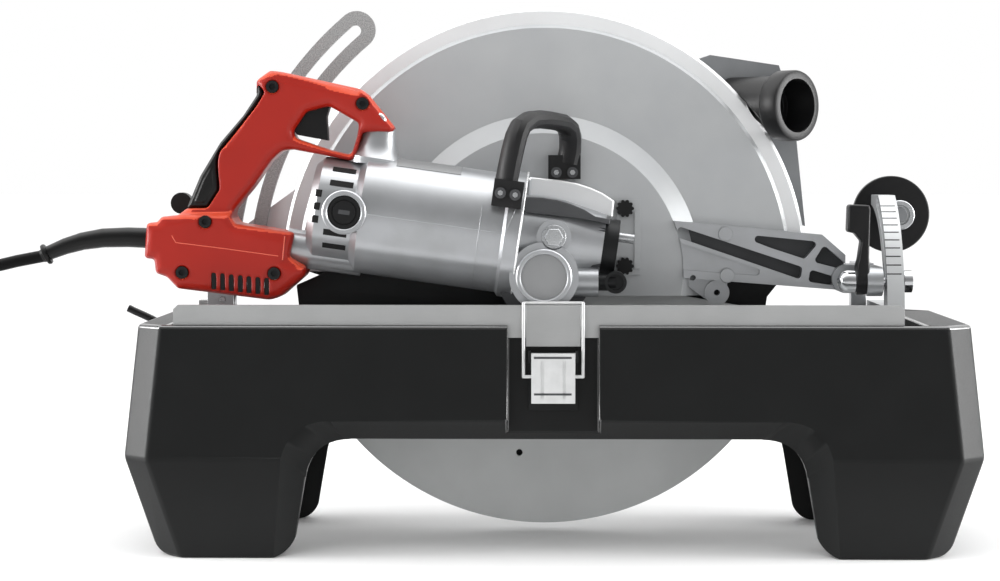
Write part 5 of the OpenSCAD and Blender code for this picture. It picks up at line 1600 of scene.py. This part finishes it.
@dataclass
class Drive:
    """Motor, worm gear and their housings."""

    drum_r: float = 38.0
    drum_face: float = -80.0
    cap_at: tuple[float, float, float] = (-7.5, -100.0, 225.0)
    plug_at: tuple[float, float, float] = (0.5, -96.0, 257.0)
    cap_profile: Outline = (
        (0, 2.4), (18.2, 2.4), (18.7, 4.5), (19.4, 5.0), (21.7, 5.0), (22.5, 4.2), (22.5, 0.0), (13.0, 0.0),
        (13.0, -4.0), (0, -4.0),
    )
    plug_profile: Outline = ((0, -12), (6, -12), (6, 0), (10, 0), (10, 1.6), (9.4, 2.2), (0, 2.2))
    plug_head: Outline = ((0, 2.0), (7.9, 2.0), (7.9, 7.0), (7.0, 7.8), (0, 7.8))
    # Outline of the dark sheet over the worm: painted shade
    worm_shade_outline: Outline = (
        (-22.9, 289.2), (-8.4, 288.4), (3.1, 286.5), (14.7, 283.2), (25.4, 278.7), (34.1, 273.3),
        (46.0, 271.1), (45.6, 266.7), (34.1, 269.7), (24.6, 271.4), (-23.7, 276.8),
    )
    worm_shade_y: tuple[float, float] = (-88.0, -60.0)
    shield: Outline = (
        (-19.9, 305.4), (-5.9, 303.8), (7.5, 302.4), (20.4, 300.0), (31.0, 296.5), (40.8, 292.2),
        (51.0, 285.4), (49.6, 271.0), (35.7, 272.7), (26.3, 277.8), (15.3, 282.4), (3.4, 285.8),
        (-8.5, 287.8), (-20.5, 289.0),
    )
    shield_y: tuple[float, float] = (-33.0, -6.0)
    flange: tuple[float, float] = (52.0, 24.2)
    flange_edge_r: float = 0.8
    motor_r: float = 49.0
    brush_z: float = 166.0
    brush_seat: float = 44.0
    collar_profile: Outline = ((13.6, 0), (17.8, 0), (17.8, 6.6), (17.0, 7.4), (14.4, 7.4), (13.6, 6.6))
    brush_cap_profile: Outline = (
        (0, -14), (13.4, -14), (13.4, 5.4), (12.8, 6.0), (10.4, 6.0), (10.1, 5.2), (9.5, 5.2), (9.2, 6.0),
        (0, 6.0),
    )
    brush_cap_top: float = 6.0
    bell_r: float = 42.0
    neck_z: float = 150.0
    neck_profile: Outline = (
        (12.0, 71.0), (13.3, 71.0), (13.8, 66.0), (15.4, 58.0), (18.0, 51.5), (23.0, 46.5), (23.0, 41.0),
        (12.0, 41.0),
    )
    seam_r: float = 0.3
    # Length, width and place along the axis of each row of air slots, and their angles in degrees
    slot_rows: Sequence[tuple[tuple[float, float, float], tuple[float, ...]]] = (
        ((19.0, 5.2, 172.0), (51.8, 31.6, -25.4, -43.7)),
        ((5.0, 6.0, 189.0), (17.0, 2.5, -12.0)),
    )
    pad_span: tuple[float, float] = (78.0, 131.0)
    # First angle, end and step
    pad_degrees: tuple[int, int, int] = (60, 85, 3)

    def gear_case(self) -> None:
        """Dresses the gear housing with painted shade on its drum, lays a dark sheet of painted shade over
        the worm, and a bright line of painted highlight round the flange.
        """
        case = dress("gear_housing", Dressing(CAST_SILVER, "cast_magnesium", 0.8))
        body = body_of_node("gear_housing")

        def on_drum(spot: Vector, way: Vector) -> bool:
            """Tells whether a face is on the drum's side or its near end."""
            r = math.hypot(spot.x - PLACES.arbor[0], spot.z - PLACES.arbor[2])
            side = abs(r - self.drum_r) < 1.0 and abs(way.y) < 0.5 and spot.y < 15.0
            front = abs(spot.y - self.drum_face) < 1.0 and way.y < -0.8
            return side or front

        # The drum's side and near end take the dark grey: painted shade
        shade_faces(case, DARK_CAST_AND_SHADE, on_drum)
        # Dark sheet laid where the worm lies in shade: painted shade
        near, far = self.worm_shade_y
        low = plate(
            "worm_cover", [filleted(self.worm_shade_outline, 1.2)], (far - near) / 2, 0.8,
            PLACES.facing(0.0, (near + far) / 2, 0.0),
        )
        settle(level(smooth(low)), body, DARK_CAST_AND_SHADE)
        # Bright tube round the flange's edge: painted highlight
        r, z = self.flange
        rim = [PLACES.on_motor(r, 5 * k, z) for k in range(73)]
        edge = TUBES.make("flange_edge", [rim], self.flange_edge_r, FLANGE_HIGHLIGHT)
        settle(edge, body, FLANGE_HIGHLIGHT)

    def oil_fittings(self) -> None:
        """Turns the level cap and the filler plug with its hexagon."""
        cap = lathe("oil_level_cap", self.cap_profile, PLACES.facing(*self.cap_at))
        settle(level(smooth(cap)), body_of_node("oil_cap"), CAST_SILVER, ["oil_cap"])
        shade_faces(cap, CAP_GREY, lambda spot, way: way.y < -0.9 and spot.y > self.cap_at[1] - 3.0)
        here = PLACES.facing(*self.plug_at)
        washer = lathe("plug_washer", self.plug_profile, here)
        head = lathe("plug_head", self.plug_head, here, 6)
        plug = soften(joined("oil_filler_plug", [washer, head]), 0.4)
        settle(plug, body_of_node("oil_plug"), STEEL, ["oil_plug"])

    def motor(self) -> None:
        """Dresses the motor with its joint lines, the brush cap's ring and the neck to the handle."""
        dress("motor_housing", Dressing(CAST_SILVER, "cast_magnesium", 0.8))
        body = body_of_node("motor_housing")
        r = self.motor_r
        long_seam = [PLACES.on_motor(r, 1.0, z) for z in (150, 120, 90, 60, 39)]
        long_seam += [PLACES.on_motor(r + 3.0, 1.0 + 5 * k, 36.0 - 1.2 * k) for k in range(6)]
        ring_seam = [PLACES.on_motor(r, 26 - 4 * k, 57.0) for k in range(24)]
        seams = TUBES.make("motor_joint_lines", [long_seam, ring_seam], self.seam_r, CAST_SILVER)
        settle(seams, body, CAST_SILVER)
        foot = PLACES.at_motor() @ Matrix.Translation((0, 0, self.neck_z * MM))
        neck = lathe("motor_neck", self.neck_profile, foot @ FORWARD)
        settle(smooth(neck), body, CAST_SILVER)
        self.brush_fittings(body)
        self.vents(body)
        self.bare_plate(body)

    def bare_plate(self, body: str) -> None:
        """Lays the bare plate on the motor's upper side.

        Args:
            body: CAD body of the motor.
        """
        work = bmesh.new()
        r = self.motor_r + 0.5
        angles = range(*self.pad_degrees)
        low, high = [[work.verts.new(PLACES.on_motor(r, a, z)) for a in angles] for z in self.pad_span]
        for i in range(len(low) - 1):
            work.faces.new((low[i], high[i], high[i + 1], low[i + 1]))
        bmesh.ops.recalc_face_normals(work, faces=work.faces)
        bmesh.ops.solidify(work, geom=work.faces[:], thickness=1.0 * MM)
        settle(soften(finished("motor_plate", work), 0.3), body, CAP_GREY)

    def brush_fittings(self, body: str) -> None:
        """Turns the brush caps, their collars and slots on both sides.

        Args:
            body: CAD body of the motor.
        """
        collars = []
        caps = []
        slots = []
        for side in (-1, 1):
            here = (
                PLACES.at_motor()
                @ Matrix.Translation((0, side * self.brush_seat * MM, self.brush_z * MM))
                @ Matrix.Rotation(-side * math.pi / 2, 4, "X")
            )
            collars.append(lathe("collar", self.collar_profile, here))
            caps.append(lathe("cap", self.brush_cap_profile, here))
            slots.append(here @ Matrix.Translation((0, 0, self.brush_cap_top * MM)))
        settle(level(smooth(joined("brush_collars", collars))), body, CAST_SILVER)
        made = level(smooth(joined("brush_cap_pair", caps)))
        settle(made, body_of_node("brush_caps"), BLACK_NYLON, ["brush_caps"])
        # Slots of the brush caps as thin dark bars: painted shade
        settle(BARS.make("brush_cap_slots", slots, BRUSH_SLOT, DARK_CAST_AND_SHADE), body, DARK_CAST_AND_SHADE)

    def vents(self, body: str) -> None:
        """Lays thin dark bars in the air slots of the motor's end bell, and the three small ones at its rim:
        painted shade.

        Args:
            body: CAD body of the motor.
        """
        for i, ((long, wide, z), angles) in enumerate(self.slot_rows):
            places = []
            for degrees in angles:
                a = math.radians(degrees)
                out = Vector((math.sin(a), -math.cos(a), 0))
                along = Vector((0, 0, 1))
                turn = Matrix((along, out.cross(along), out)).transposed().to_4x4()
                middle = Matrix.Translation((out * self.bell_r + along * z) * MM)
                places.append(PLACES.at_motor() @ middle @ turn)
            sizes = {"Length": long, "Width": wide, "Height": 0.8}
            settle(BARS.make(f"motor_air_slots_{i}", places, sizes, INK_AND_SLOT_SHADE), body, INK_AND_SLOT_SHADE)

    def build(self) -> None:
        """Dresses the housings and what is inside them."""
        self.gear_case()
        self.oil_fittings()
        self.motor()
        near, far = self.shield_y
        shield = plate(
            "gear_shield_casting", [filleted(self.shield, 2.0)], (far - near) / 2, 2.2,
            PLACES.facing(0.0, (near + far) / 2, 0.0),
        )
        settle(smooth(shield), body_of_node("gear_shield"), SHIELD_WHITE, ["gear_shield"])
        for node in ("spindle_lock", "motor_bearings", "armature_shaft"):
            dress(node, Dressing(STEEL, "steel", 0.4))
        for node in ("cap_knobs", "cooling_fan"):
            dress(node, Dressing(BLACK_NYLON, "black_plastic"))
        dress("front_cap", Dressing(BLACK_OXIDE, "dark_steel", 0.6))
        dress("worm_wheel", Dressing(BRONZE, "bronze", 0.1))
        for node in ("commutator", "armature_core"):
            dress(node, Dressing(COPPER, "copper", 0.3))
        dress("field_stator", Dressing(IRON, "iron_core", 0.3))
        dress("carbon_brushes", Dressing(CARBON, "carbon", 0.3))


@dataclass
class Handles:
    """Rear handle with its switch box, and the rubber front handle."""

    low: tuple[float, float] = (-333.5, 205.0)
    size: tuple[float, float] = (205.0, 187.0)
    screw_shares: Outline = ((0.247, 0.342), (0.154, 0.121), (0.52, 0.117))
    grip_screw_shares: Outline = ((0.512, 0.928), (0.87, 0.855))
    box_near: float = -84.0
    grip_near: float = -76.0
    screw_sink: float = 1.6
    vent_sink: float = 1.2
    nut_sink: float = 5.0
    line_sink: float = 0.3
    line_r: float = 0.5
    key_lift: float = 1.2
    vent_count: int = 7
    vent_share: tuple[float, float] = (0.28, 0.085)
    vent_step_share: tuple[float, float] = (0.035, -0.004)
    nut_at: tuple[float, float] = (-142.3, 351.2)
    nut_profile: Outline = ((0, 0), (6.2, 0), (6.2, 2.2), (5.0, 3.2), (0, 3.2))
    chamfer: float = 5.0
    chamfer_least: float = 14.0
    far_screws: Sequence[tuple[float, float, float]] = ((2.75, -28.0, 309.0), (16.25, -28.0, 309.0))
    near_screws: Sequence[tuple[float, float, float]] = ((33.0, -55.0, 32.0), (33.0, -55.0, 44.0))
    box_line: Outline = ((-310.0, 257.9), (-306.8, 252.1), (-265.4, 246.9), (-223.4, 241.1))
    box_end: Outline = ((-217.9, 257.2), (-219.9, 237.9))
    # Places along X and Z, and the radius there
    relief_path: Sequence[tuple[float, float, float]] = (
        (-320.0, 254.2, 8.4), (-329.5, 254.8, 8.4), (-350.0, 255.6, 8.2), (-370.7, 255.0, 7.9),
        (-388.0, 252.3, 7.3), (-402.0, 248.2, 6.7), (-414.0, 243.4, 6.0), (-416.0, 242.5, 6.0),
        (-416.4, 242.3, 8.4), (-417.6, 241.7, 9.0), (-419.0, 241.0, 8.6), (-419.6, 240.7, 6.0),
        (-421.5, 239.8, 5.4),
    )
    relief_sides: int = 24

    def spot(self, share: tuple[float, float], y: float) -> Matrix:
        """Gives a frame on the near side of the handle.

        Args:
            share: Share of the handle's length and height.
            y: Place along Y.

        Returns:
            The frame, in metres.
        """
        return PLACES.facing(self.low[0] + self.size[0] * share[0], y, self.low[1] + self.size[1] * share[1])

    def chamfered(self, half: bpy.types.Object, side: float) -> bpy.types.Object:
        """Cuts back the long upper edges of a handle half.

        Args:
            half: Copy of the half.
            side: Which way its outer face looks along Y.

        Returns:
            The same object.
        """
        work = bmesh.new()
        work.from_mesh(half.data)
        picked = []
        for edge in work.edges:
            if len(edge.link_faces) != 2 or edge.calc_length() < self.chamfer_least * MM:
                continue
            ways = [face.normal for face in edge.link_faces]
            outer = any(way.y * side > 0.9 for way in ways)
            upper = any(way.z > 0.25 and abs(way.y) < 0.5 for way in ways)
            if outer and upper and edge.calc_face_angle_signed(0.0) > 0.5:
                picked.append(edge)
        bmesh.ops.bevel(
            work, geom=picked, offset=self.chamfer * MM, offset_type="OFFSET", segments=1, profile=0.5,
            affect="EDGES", clamp_overlap=False,
        )
        work.to_mesh(half.data)
        work.free()
        return half

    def rear(self) -> None:
        """Moulds the red halves as one and sets the screws, the vents and the raised lines."""
        body = body_of_node("handle_near")
        halves = [
            self.chamfered(merged_copy("handle_near", "near_half"), -1.0),
            self.chamfered(merged_copy("handle_far", "far_half"), 1.0),
        ]
        shell = moulded(joined("rear_handle", halves), 1.1, 20)
        settle(shell, body, HANDLE_RED, ["handle_near", "handle_far"])
        # Faces that look upward take the paler red: painted highlight
        shade_faces(shell, RED_TOP_HIGHLIGHT, lambda spot, way: way.z > 0.42)
        grip = moulded(merged_copy("grip_overmould", "grip_rubber_moulding"), 0.9, 8)
        settle(grip, body_of_node("grip_overmould"), GRIP_RUBBER, ["grip_overmould"])
        places = [self.spot(share, self.box_near + self.screw_sink) for share in self.screw_shares]
        places += [self.spot(share, self.grip_near + self.screw_sink) for share in self.grip_screw_shares]
        screws = smooth(SCREWS.make("handle_socket_screws", places, HANDLE_SCREW, BLACK_OXIDE))
        settle(screws, body_of_node("handle_screws"), BLACK_OXIDE, ["handle_screws"])
        vents = []
        for i in range(self.vent_count):
            share = [a + step * i for a, step in zip(self.vent_share, self.vent_step_share)]
            vents.append(self.spot((share[0], share[1]), self.box_near + self.vent_sink))
        # Thin dark bars in the switch box's vents: painted shade
        settle(BARS.make("switch_box_vents", vents, BOX_VENT, INK_AND_SLOT_SHADE), body, INK_AND_SLOT_SHADE)
        nut_place = PLACES.facing(self.nut_at[0], self.grip_near + self.nut_sink, self.nut_at[1])
        nut = lathe("handle_nose_nut", self.nut_profile, nut_place)
        settle(level(smooth(nut)), body, CHROME)
        y = self.box_near + self.line_sink
        lines = [[Vector((x, y, z)) * MM for x, z in line] for line in (self.box_line, self.box_end)]
        # Thin raised tubes along the switch box's lines, pale red: painted highlight
        raised = TUBES.make("switch_box_lines", lines, self.line_r, RED_LINE_HIGHLIGHT)
        settle(raised, body, RED_LINE_HIGHLIGHT)

    def relief(self) -> None:
        """Sweeps the tapered strain relief along its bend, with the ring at its end."""
        y = PLACES.arbor[1] - PLACES.motor_out
        across = Vector((0, 1, 0))
        turns = [2 * math.pi * k / self.relief_sides for k in range(self.relief_sides)]
        rings = []
        for i, (x, z, r) in enumerate(self.relief_path):
            before = self.relief_path[max(i - 1, 0)]
            after = self.relief_path[min(i + 1, len(self.relief_path) - 1)]
            along = Vector((after[0] - before[0], 0, after[1] - before[1])).normalized()
            up = across.cross(along)
            middle = Vector((x, y, z))
            rings.append([(middle + up * r * math.sin(a) + across * r * math.cos(a)) * MM for a in turns])
        sleeve = smooth(lofted("strain_relief_sleeve", rings), 50.0)
        settle(sleeve, body_of_node("strain_relief"), GRIP_RUBBER, ["strain_relief"])

    def build(self) -> None:
        """Dresses both handles."""
        self.rear()
        self.relief()
        dress("trigger", Dressing(BLACK_NYLON, "black_plastic", 1.4))
        dress("front_handle", Dressing(STRAP_RUBBER, "handle_rubber", 1.6))
        body = body_of_node("front_handle_screws")
        near = [PLACES.at_motor() @ Matrix.Translation(Vector(p) * MM) @ FACING for p in self.near_screws]
        far = [PLACES.facing(*p) for p in self.far_screws]
        made = smooth(SCREWS.make("front_handle_socket_screws", near + far, FRONT_SCREW, DARK_CAST_AND_SHADE))
        settle(made, body, DARK_CAST_AND_SHADE, ["front_handle_screws"])
        keys = [place @ Matrix.Translation((0, 0, self.key_lift * MM)) for place in near + far]
        made = HEXES.make("front_handle_screw_floors", keys, FRONT_SCREW_FLOOR, STEEL)
        settle(made, body, STEEL)


def main() -> None:
    """Builds the studio and each sub-assembly in order."""
    logging.basicConfig(level=logging.INFO, format="%(name)s: %(message)s")
    Studio().build()
    Cord().build()
    for part in (Stand(), FootAndBevel(), Guards(), Drive(), Handles()):
        part.build()


if __name__ == "__main__":
    main()
